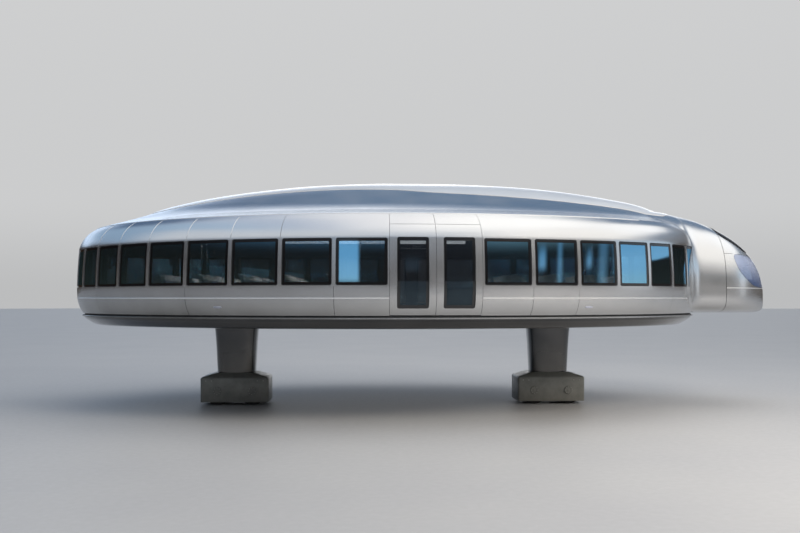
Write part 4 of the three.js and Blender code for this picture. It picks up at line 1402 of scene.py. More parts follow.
def pane_mesh(name, box, border, glass):
    """A window pane with a rubber edge, a black border round the clear glass and a seal behind its gap."""
    corner = WINDOW_CORNER - PANE_GAP
    edge = grown(box, -PANE_GAP)
    borders = [grown(edge, -GASKET_WIDTH), grown(edge, -border)]
    arcs = sorted_places(hole_places(*edge[:2], corner, PANE_STEP), *[lines[:2] for lines in borders])
    heights = sorted_places(hole_places(*edge[2:], corner, PANE_STEP_UP), *[lines[2:] for lines in borders])

    def kind(s, z):
        inset = min(s - edge[0], edge[1] - s, z - edge[2], edge[3] - z)
        return int(inset >= GASKET_WIDTH) + int(inset >= border)

    pane = panel_mesh(name, arcs, heights, [rubber_and_shade_black, frit_black, glass], PANE_THICKNESS, corner=corner,
                      depth=PANE_DEPTH, outer_box=edge, cell_material=kind, back=True)
    wide, inside = grown(box, REBATE_HALF), grown(box, -REBATE_HALF)
    arcs = sorted_places(*[hole_places(*lines[:2], WINDOW_CORNER, PANE_STEP) for lines in (wide, inside)])
    heights = sorted_places(*[
        hole_places(*lines[2:], WINDOW_CORNER, PANE_STEP_UP) for lines in (wide, inside)
    ])
    rebate = panel_mesh("rebate", arcs, heights, [rubber_and_shade_black], SEAL_THICKNESS, holes=[inside],
                        depth=SEAL_DEPTH, outer_box=wide, back=True)
    return joined([pane, rebate], name)


def wall_meshes(part, mullions, windows, low, high, seam_places, shoulder_places, extra_holes):
    """The outer skin and the cabin lining of one stretch of wall."""
    columns = sorted_places(
        [low, high],
        *[within(group, low, high) for group in wall_columns(mullions, windows)],
        *[hole_places(box[0], box[1], WINDOW_CORNER, HOLE_STEP) for box in extra_holes],
    )
    gaps = [(a, b) for a, b in zip(columns[:-1], columns[1:]) if b - a > WIDEST_STEP]
    columns = sorted_places(columns, *[np.linspace(a, b, int((b - a) / WALL_STEP) + 2) for a, b in gaps])
    extra_rows = [hole_places(box[2], box[3], WINDOW_CORNER, PASSAGE_STEP_UP) for box in extra_holes]
    rows = sorted_places(wall_rows, *extra_rows)
    seams = [(place, HIGH_WALL_ROWS[0], SHOULDER_EDGE_Z) for place in shoulder_places]
    seams += [(place, WALL_BOTTOM, LOW_WALL_ROWS[-1]) for place in seam_places]
    holes = windows + extra_holes
    skin = panel_mesh(f"{part}_skin", columns, rows, [silver, seam_grey], WALL_SKIN, holes=holes, seams=seams)
    columns = sorted_places([low, high], np.linspace(low, high, int((high - low) / LINING_COLUMN_STEP)),
                            *[hole_places(box[0], box[1], WINDOW_CORNER, LINING_STEP) for box in holes])
    rows = sorted_places(rows[::3], rows[-1:],
                         *[hole_places(box[2], box[3], WINDOW_CORNER, LINING_STEP) for box in holes])
    lining = panel_mesh(f"{part}_lining", columns, rows, [cabin_plastic], -LINING_THICKNESS, holes=holes,
                        depth=LINING_DEPTH)
    return skin, lining


def add_wall(end, places, windows, low, high, seam_places, shoulder_places, extra_holes):
    """One stretch of wall, from the right doors round an end to the left ones, with its lining and panes."""
    low, high = low + PANEL_GAP / 2, high - PANEL_GAP / 2
    mullions = within(places, low + MULLION_CLEARANCE, high - MULLION_CLEARANCE)
    skin, lining = wall_meshes(f"wall_{end}", mullions, windows, low, high, seam_places, shoulder_places,
                               extra_holes)
    piece_from(skin, f"wall_{end}_skin", replaces=[f"wall_{end}_right", f"wall_{end}_left"])
    piece_from(lining, f"wall_{end}_lining")
    panes = [pane_mesh("pane", box, FRIT_WIDTH, tinted) for box in windows]
    piece_from(panes, f"glazing_{end}_panes",
               replaces=[f"glazing_{end}_right", f"glazing_{end}_left"])


def make_walls():
    rear = sorted_places(rear_mullions, tail_mullions(), across_tail(rear_mullions))
    windows = [window_box(a, b) for a, b in zip(rear[:-1], rear[1:])]
    seams = [rear_mullions[k] for k in REAR_SEAMS]
    add_wall("rear", rear, windows, across_tail([door_rear])[0], door_rear, seams + across_tail(seams),
             rear[2:-2], [])
    front = sorted_places(front_mullions, across_nose(front_mullions))
    windows = [window_box(a, b) for a, b in zip(front[:-1], front[1:]) if b - a < WIDEST_PANE]
    seams = [front_mullions[k] for k in FRONT_SEAMS]
    passage = (NOSE_ARC - PASSAGE_HALF, NOSE_ARC + PASSAGE_HALF, PASSAGE_BOTTOM, PASSAGE_TOP)
    add_wall("front", front, windows, door_front, across_nose([door_front])[0], seams + across_nose(seams),
             [], [passage])


def make_doors():
    for end, start, stop in (("rear", door_rear, door_mid), ("front", door_mid, door_front)):
        node, glass = f"door_leaf_{end}", f"door_glass_{end}"
        low, high = start + PANEL_GAP / 2, stop - PANEL_GAP / 2
        box = (start + DOOR_GLASS_SIDE, stop - DOOR_GLASS_SIDE, DOOR_GLASS_BOTTOM, DOOR_GLASS_TOP)
        columns = sorted_places(
            [low, low + DOOR_EDGE, high - DOOR_EDGE, high],
            np.linspace(low, box[0] - DOOR_COLUMN_GAP, 3),
            np.linspace(box[1] + DOOR_COLUMN_GAP, high, 3),
            hole_places(box[0], box[1], WINDOW_CORNER, WALL_STEP),
        )
        rows = sorted_places(
            np.linspace(*DOOR_LOW_ROWS),
            hole_places(box[2], box[3], WINDOW_CORNER, WALL_STEP),
            DOOR_HEAD_ROWS,
            np.linspace(*DOOR_HIGH_ROWS),
            [DOOR_TOP],
        )
        leaf = panel_mesh(f"{node}_skin", columns, rows, [silver], WALL_SKIN, holes=[box])
        add_both_sides(leaf, f"{node}_skin", node)
        lining = panel_mesh(f"{node}_lining", columns, rows, [cabin_plastic], -LINING_THICKNESS, holes=[box],
                            depth=LINING_DEPTH)
        add_both_sides(lining, f"{node}_lining")
        pane = pane_mesh(f"{glass}_pane", box, DOOR_FRIT, door_tint)
        add_both_sides(pane, f"{glass}_pane", glass)

    edges = (door_rear, door_mid, door_front)
    seals = [([arc - SEAL_HALF, arc, arc + SEAL_HALF], wall_rows) for arc in edges]
    over = [DOOR_TOP - SEAL_HALF, DOOR_TOP, DOOR_TOP + SEAL_HALF]
    seals.append((np.linspace(door_rear, door_front, DOOR_COLUMNS), over))
    meshes = [
        panel_mesh("seal", arcs, heights, [rubber_and_shade_black], SEAL_THICKNESS, depth=SEAL_DEPTH, back=True)
        for arcs, heights in seals
    ]
    add_both_sides(meshes, "door_seals")

    low, high = door_rear + PANEL_GAP / 2, door_front - PANEL_GAP / 2
    columns = sorted_places(np.linspace(low, high, DOOR_COLUMNS), seam_columns(door_mid),
                            [low + DOOR_EDGE, high - DOOR_EDGE])
    rows = [DOOR_TOP + PANEL_GAP, HEADER_ROW, *[row for row in wall_rows if row > HEADER_ROW + DOOR_EDGE]]
    header = panel_mesh("door_header_skin", columns, rows, [silver, seam_grey], WALL_SKIN,
                        seams=[(door_mid, DOOR_TOP, SHOULDER_EDGE_Z)])
    add_both_sides(header, "door_header_skin", "door_header")


# Beads and trims that run along the wall


def bead_mesh(name, arcs, z, radius):
    """A bright half-round bead along the wall at one height."""
    turns = np.linspace(-math.pi / 2, math.pi / 2, 8)
    arcs = np.asarray(arcs, float)
    heights = z + radius * np.sin(turns)
    depths = -radius * BEAD_PROUD * np.cos(turns)
    rows = [
        hull_surface(arcs, np.full(arcs.shape, height), np.full(arcs.shape, depth))
        for height, depth in [*zip(heights, depths), (z, radius)]
    ]
    return ring_loft(name, np.stack(rows, 1), [bright])


def rib_mesh(arc):
    """A bright half-round rib up the wall, thinner towards its ends."""
    turns = np.linspace(-math.pi / 2, math.pi / 2, 7)
    heights = np.linspace(*RIB_ENDS, 26)
    swell = RIB_RADIUS * np.sin(np.linspace(0.12, math.pi - 0.12, len(heights))) ** 0.5
    rings = []
    for z, size in zip(heights, swell):
        arcs = arc + size * np.sin(turns)
        ring = hull_surface(arcs, np.full(arcs.shape, z), -RIB_PROUD * size * np.cos(turns))
        back = hull_surface(np.array([arc]), np.array([z]), np.array([size]))
        rings.append(np.concatenate([ring, back]))
    return ring_loft("rib", rings, [bright])


def marker_mesh(arc):
    """A slim oval lamp that stands a little proud of the wall."""
    turns = np.linspace(0, 2 * math.pi, 40, endpoint=False)
    rings = []
    for size, depth in MARKER_RINGS:
        arcs = arc + MARKER_HALF_LENGTH * size * signed_power(np.cos(turns), 3)
        heights = MARKER_Z + MARKER_HALF_HEIGHT * size * signed_power(np.sin(turns), 2)
        rings.append(hull_surface(arcs, heights, np.full(turns.shape, depth)))
    return ring_loft("marker", rings, [lamp_pale])


def make_trims():
    add_both_sides([rib_mesh(arc) for arc in rear_mullions[RIB_FIRST:]], "shoulder_ribs")
    add_both_sides([marker_mesh(door_arc(x)) for x in MARKER_X], "marker_lamps")
    rear = np.linspace(across_tail([door_rear])[0] + TRIM_GAP, door_rear - TRIM_GAP, 220)
    piece_from(bead_mesh("belt_trim_rear", rear, BELT_Z, BELT_RADIUS), "belt_trim_rear")
    bead_end = door_arc(SHOULDER_BEAD_FRONT_X)
    round_tail = np.linspace(2 * TAIL_ARC - bead_end, bead_end, 420)
    bead = bead_mesh("shoulder_bead", round_tail, SHOULDER_BEAD_Z, SHOULDER_BEAD_RADIUS)
    piece_from(bead, "shoulder_bead")
    front = np.linspace(door_front + TRIM_GAP, door_arc(BELT_FRONT_X), 80)
    belt = bead_mesh("belt_trim_front", front, BELT_Z, BELT_RADIUS)
    add_both_sides(belt, "belt_trim_front")


# Roof and ridge cap


def plan_ring(rear, front, half, z, steps=320):
    """A level ring of the hull's oval."""
    angles = np.linspace(0, 2 * math.pi, steps, endpoint=False)
    x, y = plan_point(angles, rear, front, half)
    return np.stack([x, y, np.full(steps, z)], -1)


def wall_ring(inset, z):
    return plan_ring(HULL_REAR - inset, HULL_FRONT - inset, HULL_HALF_WIDTH - inset, z)


def roof_ring(number, shrink, drop):
    reaches = [float(reach(number)) - shrink for reach in (roof_rear, roof_front, roof_half)]
    return plan_ring(*reaches, float(roof_z(number)) - drop)


def make_roof():
    numbers = np.concatenate([ROOF_FOOT_STEPS, np.linspace(*ROOF_STEPS)])
    rings = [roof_ring(number, 0, 0) for number in reversed(numbers)]
    rings.append(roof_ring(0, ROOF_INSET, 0))
    for number in numbers[::6]:
        rings.append(roof_ring(number, ROOF_INSET if number < ROOF_INSET_RINGS else 0, ROOF_THICKNESS))
    roof = ring_loft("roof_skin", rings, [silver])
    piece_from(roof, "roof_skin", replaces=["roof_shell"])


def make_ridge_cap():
    """A thin cap along the crown of roof and pod, thickest along its middle."""
    along = (1 - np.cos(np.linspace(0, math.pi, 201))) / 2
    across = np.sin(np.linspace(-math.pi / 2, math.pi / 2, 41))
    cap_half = monotone_curve(*zip(*CAP_OUTLINE))
    x = CAP_OUTLINE[0][0] + (CAP_OUTLINE[-1][0] - CAP_OUTLINE[0][0]) * along
    grid_x = np.repeat(x[:, None], len(across), 1)
    grid_y = cap_half(x)[:, None] * across[None, :]
    height = crown_height(grid_x, grid_y)
    crown = 1 - np.abs(across) ** 4
    top = height + CAP_EDGE + (CAP_THICKNESS - CAP_EDGE) * crown[None, :]
    upper = np.stack([grid_x, grid_y, top], -1)
    lower = np.stack([grid_x, grid_y, height - CAP_SINK], -1)
    cap = slab_mesh("ridge_cap_skin", upper, lower, [cap_highlight_paint])
    piece_from(cap, "ridge_cap_skin", replaces=["ridge_cap"])


# Lip, belly and jacking pads


def make_underside():
    lip = ring_loft("lip_trim_skin", [wall_ring(*row) for row in LIP_PROFILE], [silver], closed=True)
    # The lip's faces over LIP_GROOVE_Z are black: painted shade in the groove under the wall's foot
    two_tone(lip, rubber_and_shade_black, 2, LIP_GROOVE_Z)
    piece_from(lip, "lip_trim_skin", replaces=["lip_trim"])
    inset_at = monotone_curve([-z for _, z in BELLY_PROFILE], [inset for inset, _ in BELLY_PROFILE])
    rings = [wall_ring(float(inset_at(-z)), z) for z in np.linspace(BELLY_PROFILE[0][1], BELLY_Z, 14)]
    rings += [wall_ring(inset, BELLY_Z) for inset in BELLY_FLOOR_INSETS]
    rings = list(reversed(rings)) + [wall_ring(*row) for row in BELLY_INSIDE]
    belly = ring_loft("belly_pan_skin", rings, [dark_gloss])
    piece_from(belly, "belly_pan_skin", replaces=["belly_pan"])
    pads = []
    for leg_x in LEGS.values():
        for x in (leg_x - PAD_X, leg_x + PAD_X):
            for y in (-PAD_Y, PAD_Y):
                pads.append(box_mesh("pad", (x - PAD_HALF, y - PAD_HALF, PAD_BOTTOM),
                                     (x + PAD_HALF, y + PAD_HALF, BELLY_Z + PAD_SINK), [chipped]))
    piece_from(pads, "jack_pads")


# Nose pod


def hull_clearance(points):
    """Positive outside the hull, negative inside it."""
    x, y, z = points[..., 0], points[..., 1], points[..., 2]
    numbers = np.linspace(0, len(ROOF_RINGS) - 1.01, 400)
    number = np.interp(z, roof_z(numbers), numbers)
    front = np.where(z < SHOULDER_EDGE_Z, HULL_FRONT - wall_inset(z), roof_front(number))
    half = np.where(z < SHOULDER_EDGE_Z, HULL_HALF_WIDTH - wall_inset(z), roof_half(number))
    return np.sqrt(((x - HULL_X) / front) ** 2 + (y / half) ** 2) - 1


def make_pod():
    """The pod behind the nose's seam. Each line along it starts just inside the hull."""
    angles = even_pod_angles(200)
    seam = float(section_at(NOSE_SEAM_X - NOSE_SEAM_HALF))
    low = np.zeros(angles.shape)
    high = np.full(angles.shape, float(section_at(POD_LATEST_X)))
    for _ in range(30):
        middle = (low + high) / 2
        outside = hull_clearance(pod_surface(middle, angles)) > -POD_TUCK
        high = np.where(outside, middle, high)
        low = np.where(outside, low, middle)
    shares = np.linspace(0, 1, 46)[:, None]
    sections = high[None, :] * (1 - shares) + seam * shares
    turned = np.repeat(angles[None, :], len(shares), 0)
    inside = pod_surface(sections, turned, -POD_SKIN)
    shell = shell_mesh("pod_skin", pod_surface(sections, turned), inside, [silver])
    piece_from(shell, "pod_skin", replaces=["pod_shell"])


def nose_shell(name, grow, thickness, material, rows=74, columns=180, last=len(POD_SECTIONS) - 1):
    """A shell ahead of the nose's seam, closed over the tip by a few small rings."""
    numbers = np.linspace(float(section_at(NOSE_SEAM_X + NOSE_SEAM_HALF)), last, rows)
    sections, turned = np.meshgrid(numbers, even_pod_angles(columns), indexing="ij")
    outside = pod_surface(sections, turned, grow)
    inside = pod_surface(sections, turned, grow - thickness)
    end, middle = outside[-1], outside[-1].mean(0)
    tip = [end * share + middle * (1 - share) + np.array([reach, 0, 0]) for share, reach in NOSE_TIP]
    return ring_loft(name, [*outside, *tip, *inside[::-1]], [material], closed=True)


def cut_block(x, y, z):
    """A plain block from low and high places on each axis."""
    low, high = zip(x, y, z)
    return box_mesh("block", low, high, [], bevel=0)


def screen_prism(inset, low_z):
    """The windscreen's outline carried upwards, with its edge moved inwards."""
    outline = rounded([*SCREEN_OUTLINE, *[(x, -half) for x, half in reversed(SCREEN_OUTLINE)]], 2)
    return prism_mesh("screen", inset_outline(outline, inset), low_z, CUT_Z[1], "Z")


def lamp_prism(inset, reach, clearance):
    """The headlamp's outline carried sideways, with its edge moved inwards, short of the windscreen."""
    outline = inset_outline(rounded(LAMP_OUTLINE, 2), inset)
    surround = screen_prism(-SCREEN_SURROUND - clearance, SCREEN_LOW_Z - SURROUND_DROP)
    return carved(prism_mesh("lamp", outline, *reach, "Y"), surround, "DIFFERENCE")


def beside(y, side):
    """The stretch from a place beside the middle outwards, on one side."""
    return (y, CUT_Y) if side > 0 else (-CUT_Y, -y)


def make_nose():
    nose = nose_shell("nose_cap_skin", 0.0, POD_SKIN, silver)
    both = (-CUT_Y, CUT_Y)
    nose = carved(nose, cut_block(CUT_X, both, (BUMPER_SEAM_Z + BUMPER_SEAM_HALF, CUT_Z[1])), "INTERSECT")
    nose = carved(nose, screen_prism(0, SCREEN_LOW_Z), "DIFFERENCE")
    for side in (-1, 1):
        nose = carved(nose, lamp_prism(0, beside(LAMP_INNER_Y, side), 0), "DIFFERENCE")
        nose = carved(nose, cut_block(NOSE_SLOT_X, beside(NOSE_SLOT_Y, side), NOSE_SLOT_Z), "DIFFERENCE")
    piece_from(nose, "nose_cap_skin", replaces=["nose_cap"])

    bumper = nose_shell("nose_bumper_skin", 0.0, POD_SKIN, silver)
    bumper = carved(bumper, cut_block(CUT_X, both, (CUT_Z[0], BUMPER_SEAM_Z - BUMPER_SEAM_HALF)), "INTERSECT")
    piece_from(bumper, "nose_bumper_skin", replaces=["nose_bumper"])

    glass = nose_shell("windscreen_pane", SCREEN_CROWN, SCREEN_CROWN + SCREEN_DEPTH, screen_black, 60, 140)
    glass = carved(glass, screen_prism(SCREEN_GAP, SCREEN_LOW_Z + SCREEN_GAP), "INTERSECT")
    piece_from(glass, "windscreen_pane", replaces=["windscreen"])


def make_headlamps():
    right = beside(LAMP_INNER_Y + LAMP_SIDE_GAP, -1)
    lens = nose_shell("headlamp_lens", 0.0, LENS_THICKNESS, lamp_glass, 60, 140)
    lens = carved(lens, lamp_prism(LENS_GAP, right, LENS_GAP), "INTERSECT")
    add_both_sides(lens, "headlamp_lens", "headlamp")

    recess = lamp_prism(HOUSING_GAP, right, HOUSING_GAP)
    housing = nose_shell("headlamp_housing", -LAMP_DEPTH, HOUSING_THICKNESS, lamp_chrome, 50, 120,
                         last=float(section_at(HOUSING_END_X)))
    housing = carved(housing, recess, "INTERSECT")
    add_both_sides(housing, "headlamp_housing")

    rim = nose_shell("headlamp_rim", -RIM_SINK, LAMP_DEPTH, lamp_dark, 50, 120)
    rim = carved(rim, recess, "INTERSECT")
    rim = carved(rim, lamp_prism(RIM_WIDTH, (-CUT_Y, 0), RIM_WIDTH), "DIFFERENCE")
    add_both_sides(rim, "headlamp_rim")

    units = []
    for x, z, radius in PROJECTORS:
        bowl = [(radius * share, y) for share, y in PROJECTOR_BOWL]
        unit = lathe_mesh("projector", bowl, 32, [lamp_chrome])
        y = PROJECTOR_SETBACK - float(pod_half_width(x, z))
        units.append(moved(unit, (x, y, z), PROJECTOR_TURN, "Z"))
    add_both_sides(units, "headlamp_projectors")


def make_bumper_trim():
    x = np.concatenate([np.linspace(*stretch) for stretch in BUMPER_TRIM_STRETCHES])
    right = np.stack([x, -pod_half_width(x, BUMPER_SEAM_Z), np.full(x.shape, BUMPER_SEAM_Z)], -1)
    path = np.concatenate([right, right[::-1] * np.array([1, -1, 1])])
    trim = tube_mesh("bumper_trim", [tuple(point) for point in path], BUMPER_TRIM_RADIUS, [bright])
    piece_from(trim, "bumper_trim")


# Legs, feet and wheels


def leg_ring(x, half_x, half_y, z):
    """A level ring round a leg, between an ellipse and a rectangle."""
    angle = np.linspace(0, 2 * math.pi, 96, endpoint=False)
    return np.stack([
        x + half_x * signed_power(np.cos(angle), LEG_POWER),
        half_y * signed_power(np.sin(angle), LEG_POWER),
        np.full(angle.shape, z),
    ], -1)


def make_legs():
    heights, half_x, half_y = zip(*LEG_LEVELS)
    width_x = monotone_curve(heights, half_x)
    width_y = monotone_curve(heights, half_y)
    levels = np.concatenate([np.linspace(*stretch) for stretch in LEG_RINGS])
    for end, x in LEGS.items():
        rings = [leg_ring(x, float(width_x(z)), float(width_y(z)), z) for z in levels]
        leg = ring_loft(f"leg_{end}_skin", rings, [dark_gloss])
        piece_from(leg, f"leg_{end}_skin", replaces=[f"leg_{end}"])


def tyre_profile():
    side = [(radius, -TYRE_HALF_WIDTH - bulge) for radius, bulge in TYRE_SIDE]
    tread = [(WHEEL_R - depth, place + y) for place in TREAD_GROOVES for y, depth in GROOVE]
    return side + tread + [(radius, -y) for radius, y in reversed(side)] + [side[0]]


def make_wheels():
    tyre = lathe_mesh("tyre", tyre_profile(), 72, [tyre_rubber])
    for axle, x in AXLES.items():
        for side, y in (("right", -TYRE_Y), ("left", TYRE_Y)):
            node = f"tyre_{axle}_{side}"
            mesh = moved(tyre.copy(), (x, y, WHEEL_R))
            piece_from(mesh, f"{node}_tread", body=f"axle_{axle}", replaces=[node])


def rounded_rect_ring(half_x, half_y, radius, z, steps=7):
    """A level rectangle with round corners."""
    points = []
    for quarter, (side_x, side_y) in enumerate(((1, 1), (-1, 1), (-1, -1), (1, -1))):
        for turn in np.linspace(quarter, quarter + 1, steps) * math.pi / 2:
            points.append((
                side_x * (half_x - radius) + radius * math.cos(turn),
                side_y * (half_y - radius) + radius * math.sin(turn),
                z,
            ))
    return points


def softened(rows):
    """Rows of sizes with each corner between two stretches cut back a little on both sides."""
    rows = [np.asarray(row, float) for row in rows]
    soft = [rows[0]]
    for before, row, after in zip(rows[:-2], rows[1:-1], rows[2:]):
        for other in (before, after):
            length = np.linalg.norm((other - row)[[0, 3]])
            soft.append(row + (other - row) * min(FOOT_CORNER_REACH / length, 0.3))
    return soft + [rows[-1]]


def bolt_head(radius, height):
    """A domed bolt head that stands out along Y."""
    profile = [(0, -0.004), (radius, -0.004), (radius, height * 0.6), (radius * 0.7, height), (0, height)]
    return lathe_mesh("bolt", profile, 6, [chipped])


def bolt_ring(y, ring_radius, count, radius, height):
    return [
        moved(bolt_head(radius, height), (ring_radius * math.cos(turn), y, ring_radius * math.sin(turn)))
        for turn in np.linspace(0, 2 * math.pi, count, endpoint=False)
    ]


def make_feet():
    outside = [rounded_rect_ring(*row) for row in softened(FOOT_OUTSIDE)]
    well = [rounded_rect_ring(*row) for row in softened(FOOT_WELL)]
    shell = ring_loft("foot", list(reversed(well)) + outside, [foot_paint])
    slew_ring = lathe_mesh("slew_ring", SLEW_RING_PROFILE, 72, [chipped])
    meshes = [shell, moved(slew_ring, (0, 0, 0), 90)]
    for x in (-AXLE_OFFSET, AXLE_OFFSET):
        cover = lathe_mesh("foot_cap", FOOT_CAP_PROFILE, 48, [foot_paint])
        cap = joined([cover, *bolt_ring(FOOT_CAP_PROUD - CAP_BOLT_SINK, *CAP_BOLTS)], "foot_cap")
        moved(cap, (x, FOOT_SIDE_Y, WHEEL_R))
        meshes += [mirrored_mesh(cap, "foot_cap_right"), cap]
    left = [moved(bolt_head(*SIDE_BOLT), (x, FOOT_SIDE_Y, SIDE_BOLTS_Z)) for x in SIDE_BOLTS_X]
    meshes += [mirrored_mesh(bolt, "bolt") for bolt in left] + left
    foot = joined(meshes, "foot")
    for end, leg_x in LEGS.items():
        mesh = moved(foot.copy(), (leg_x, 0, 0))
        piece_from(mesh, f"foot_{end}_skin", body=f"foot_{end}", replaces=[f"foot_{end}"])


def make_wheelsets():
    """Each axle with both its wheels, turned about Y."""
    other_half = [(radius, -y) for radius, y in reversed(WHEELSET_PROFILE)]
    turned = lathe_mesh("wheelset", other_half + WHEELSET_PROFILE, 64, [wheel_steel])
    nuts = bolt_ring(WHEEL_OUT - RIM_DISH, *WHEEL_NUTS)
    template = joined([turned, *nuts, *[mirrored_mesh(nut, "nut") for nut in nuts]], "wheelset")
    for axle, x in AXLES.items():
        mesh = moved(template.copy(), (x, 0, WHEEL_R))
        piece_from(mesh, f"wheelset_{axle}_turned", body=f"axle_{axle}",
                   replaces=[f"wheelset_{axle}"])


# Padded pieces


def slab_mesh(name, upper, lower, materials):
    """A closed sheet between two grids of points with a common border."""
    rows, columns = upper.shape[:2]
    count = rows * columns
    faces = grid_faces(rows, columns)
    faces += [tuple(reversed(face)) for face in grid_faces(rows, columns, count)]
    border = [(0, j) for j in range(columns)] + [(i, columns - 1) for i in range(1, rows)]
    border += [(rows - 1, j) for j in range(columns - 2, -1, -1)] + [(i, 0) for i in range(rows - 2, 0, -1)]
    flat = [i * columns + j for i, j in border]
    for a, b in zip(flat, flat[1:] + flat[:1]):
        faces.append((b, a, a + count, b + count))
    points = np.concatenate([upper.reshape(-1, 3), lower.reshape(-1, 3)])
    return outward(mesh_from(name, points, faces, materials))


def pillow_mesh(name, length, width, thickness, cells, waist=0.035):
    """A crowned closed pad about its centre, whose sides pull in between its corners."""
    even = np.sin(np.linspace(-math.pi / 2, math.pi / 2, cells + 1))
    u, v = np.meshgrid(even, even, indexing="ij")
    x = length / 2 * u * (1 - waist * (1 - v**2))
    y = width / 2 * v * (1 - waist * (1 - u**2))
    swell = thickness / 2 * ((1 - u**6) * (1 - v**6)) ** 0.4
    pad = slab_mesh(name, np.stack([x, y, swell], -1), np.stack([x, y, -swell * 0.8], -1), [seat_cloth])
    with editing(pad) as work:
        bmesh.ops.remove_doubles(work, verts=work.verts, dist=1e-5)
        bmesh.ops.dissolve_degenerate(work, edges=work.edges, dist=1e-6)
    return pad


def blown_up(mesh, rest_side):
    """The pad as cloth filled with air, each point's way capped, and kept flat on the side it rests on."""
    start = coordinates(mesh)
    pad = bpy.data.objects.new("pad", mesh)
    bpy.context.scene.collection.objects.link(pad)
    cloth = pad.modifiers.new("cloth", "CLOTH")
    cloth.settings.quality = 6
    cloth.settings.mass = 0.2
    cloth.settings.use_pressure = True
    cloth.settings.uniform_pressure_force = PAD_PRESSURE
    cloth.settings.effector_weights.gravity = 0
    cloth.point_cache.frame_end = PAD_STEPS
    for step in range(1, PAD_STEPS + 1):
        bpy.context.scene.frame_set(step)
    filled = pad.evaluated_get(bpy.context.evaluated_depsgraph_get())
    shift = coordinates(filled.data) - start
    reach = np.linalg.norm(shift, axis=1)
    points = start + shift * np.minimum(1, PAD_CAP / np.maximum(reach, 1e-9))[:, None]
    points[:, 2] = np.maximum(points[:, 2], rest_side)
    pad.modifiers.remove(cloth)
    mesh.vertices.foreach_set("co", points.ravel())
    mesh.update()
    bpy.context.scene.frame_set(1)
    pad.modifiers.new("subdivision", "SUBSURF").levels = 1
    smooth = bpy.data.meshes.new_from_object(pad.evaluated_get(bpy.context.evaluated_depsgraph_get()))
    bpy.data.objects.remove(pad)
    smooth.shade_smooth()
    return smooth


def two_tone(mesh, other, along, place):
    """Gives the faces past a place along one axis a second material."""
    mesh.materials.append(other)
    for face in mesh.polygons:
        if face.center[along] > place:
            face.material_index = 1


def leaning(up_angle):
    """Turns a flat pad upright: its length goes up and back, and its crown faces the nose."""
    back, up = -math.sin(up_angle), math.cos(up_angle)
    return Matrix(((back, 0, up, 0), (0, -1, 0, 0), (up, 0, -back, 0), (0, 0, 0, 1)))


def filled_pad(name, sizes, place, turn=Matrix.Identity(4), cover_from=None):
    """A pad at its place, flat or turned, with a head cover past a place along it."""
    *shape, flat_side = sizes
    pad = blown_up(pillow_mesh(name, *shape), flat_side)
    if cover_from:
        two_tone(pad, head_cover, 0, cover_from)
    pad.transform(Matrix.Translation(place) @ turn)
    return pad


def smooth_path(points, count):
    """Points spread evenly along a smooth curve through a few places."""
    points = np.asarray(points, float)
    steps = np.linalg.norm(np.diff(points, axis=0), axis=1)
    lengths = np.concatenate([[0], np.cumsum(steps)])
    places = np.linspace(0, lengths[-1], count)
    return np.stack([monotone_curve(lengths, column)(places) for column in points.T], -1)


def moulded_shell(path, width, thickness, wing, materials):
    """A thin seat shell along a side path, with its edges turned up towards the sitter."""
    path = smooth_path(path, 16)
    along = np.gradient(path, axis=0)
    along /= np.linalg.norm(along, axis=1)[:, None]
    normal = np.stack([along[:, 1], -along[:, 0]], -1)
    across = np.array(SHELL_ACROSS)
    lift = wing * np.abs(across) ** 6

    def sheet(below):
        side = path[:, None, :] + normal[:, None, :] * (lift[None, :, None] - below)
        y = np.broadcast_to(across * width / 2, side.shape[:2])
        return np.stack([side[..., 0], y, side[..., 1]], -1)

    return slab_mesh("shell", sheet(0), sheet(thickness), materials)


def placed(mesh, x, y, z, stretch=1.0):
    copy = mesh.copy()
    copy.transform(Matrix.Translation((x, y, z)) @ Matrix.Scale(stretch, 4, (0, 1, 0)))
    return copy


def half_room(x, gap):
    """Half the hull's width at a place along it, less a gap."""
    reach = (HULL_FRONT if x > HULL_X else HULL_REAR) - gap
    return (HULL_HALF_WIDTH - gap) * math.sqrt(1 - ((x - HULL_X) / reach) ** 2)


def make_passenger_seats():
    cushion = filled_pad("cushion", SEAT_CUSHION, SEAT_CUSHION_PLACE)
    rest = filled_pad("rest", SEAT_REST, SEAT_REST_PLACE, leaning(SEAT_LEAN), HEAD_COVER_FROM)
    pads = joined([cushion, rest], "pads")
    shell = moulded_shell(SEAT_SHELL, *SEAT_SHELL_SIZES, [pale_plastic])
    frame_mesh = joined([shell, box_mesh("bracket", BRACKET_LOW, BRACKET_HIGH, [rail_steel])], "frame")
    for block, (first, count, step) in SEAT_ROWS.items():
        node = f"seats_{block}"
        soft, hard = [], []
        for x in [first + row * step for row in range(count)]:
            reach = min(half_room(x + place, SEAT_WALL_GAP) for place in (SEAT_BACK_X, SEAT_FRONT_X))
            seats = int((reach - SEAT_AISLE) / SEAT_SPACING)
            pitch = (reach - SEAT_AISLE) / seats
            low = (x + PLINTH_X[0], -reach + PLINTH_GAP, FLOOR_TOP + CABIN_GAP)
            high = (x + PLINTH_X[1], -SEAT_AISLE - PLINTH_GAP, FLOOR_TOP + PLINTH_TOP)
            hard.append(box_mesh("plinth", low, high, [block_metal], bevel=PLINTH_BEVEL))
            for seat in range(seats):
                spot = (x, -SEAT_AISLE - pitch * (seat + 0.5), FLOOR_TOP, (pitch - SEAT_GAP) / SEAT_WIDTH)
                soft.append(placed(pads, *spot))
                hard.append(placed(frame_mesh, *spot))
        for piece in add_both_sides(soft, f"{node}_pads", on_hull=False):
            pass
        add_both_sides(hard, f"{node}_frames", node, on_hull=False)


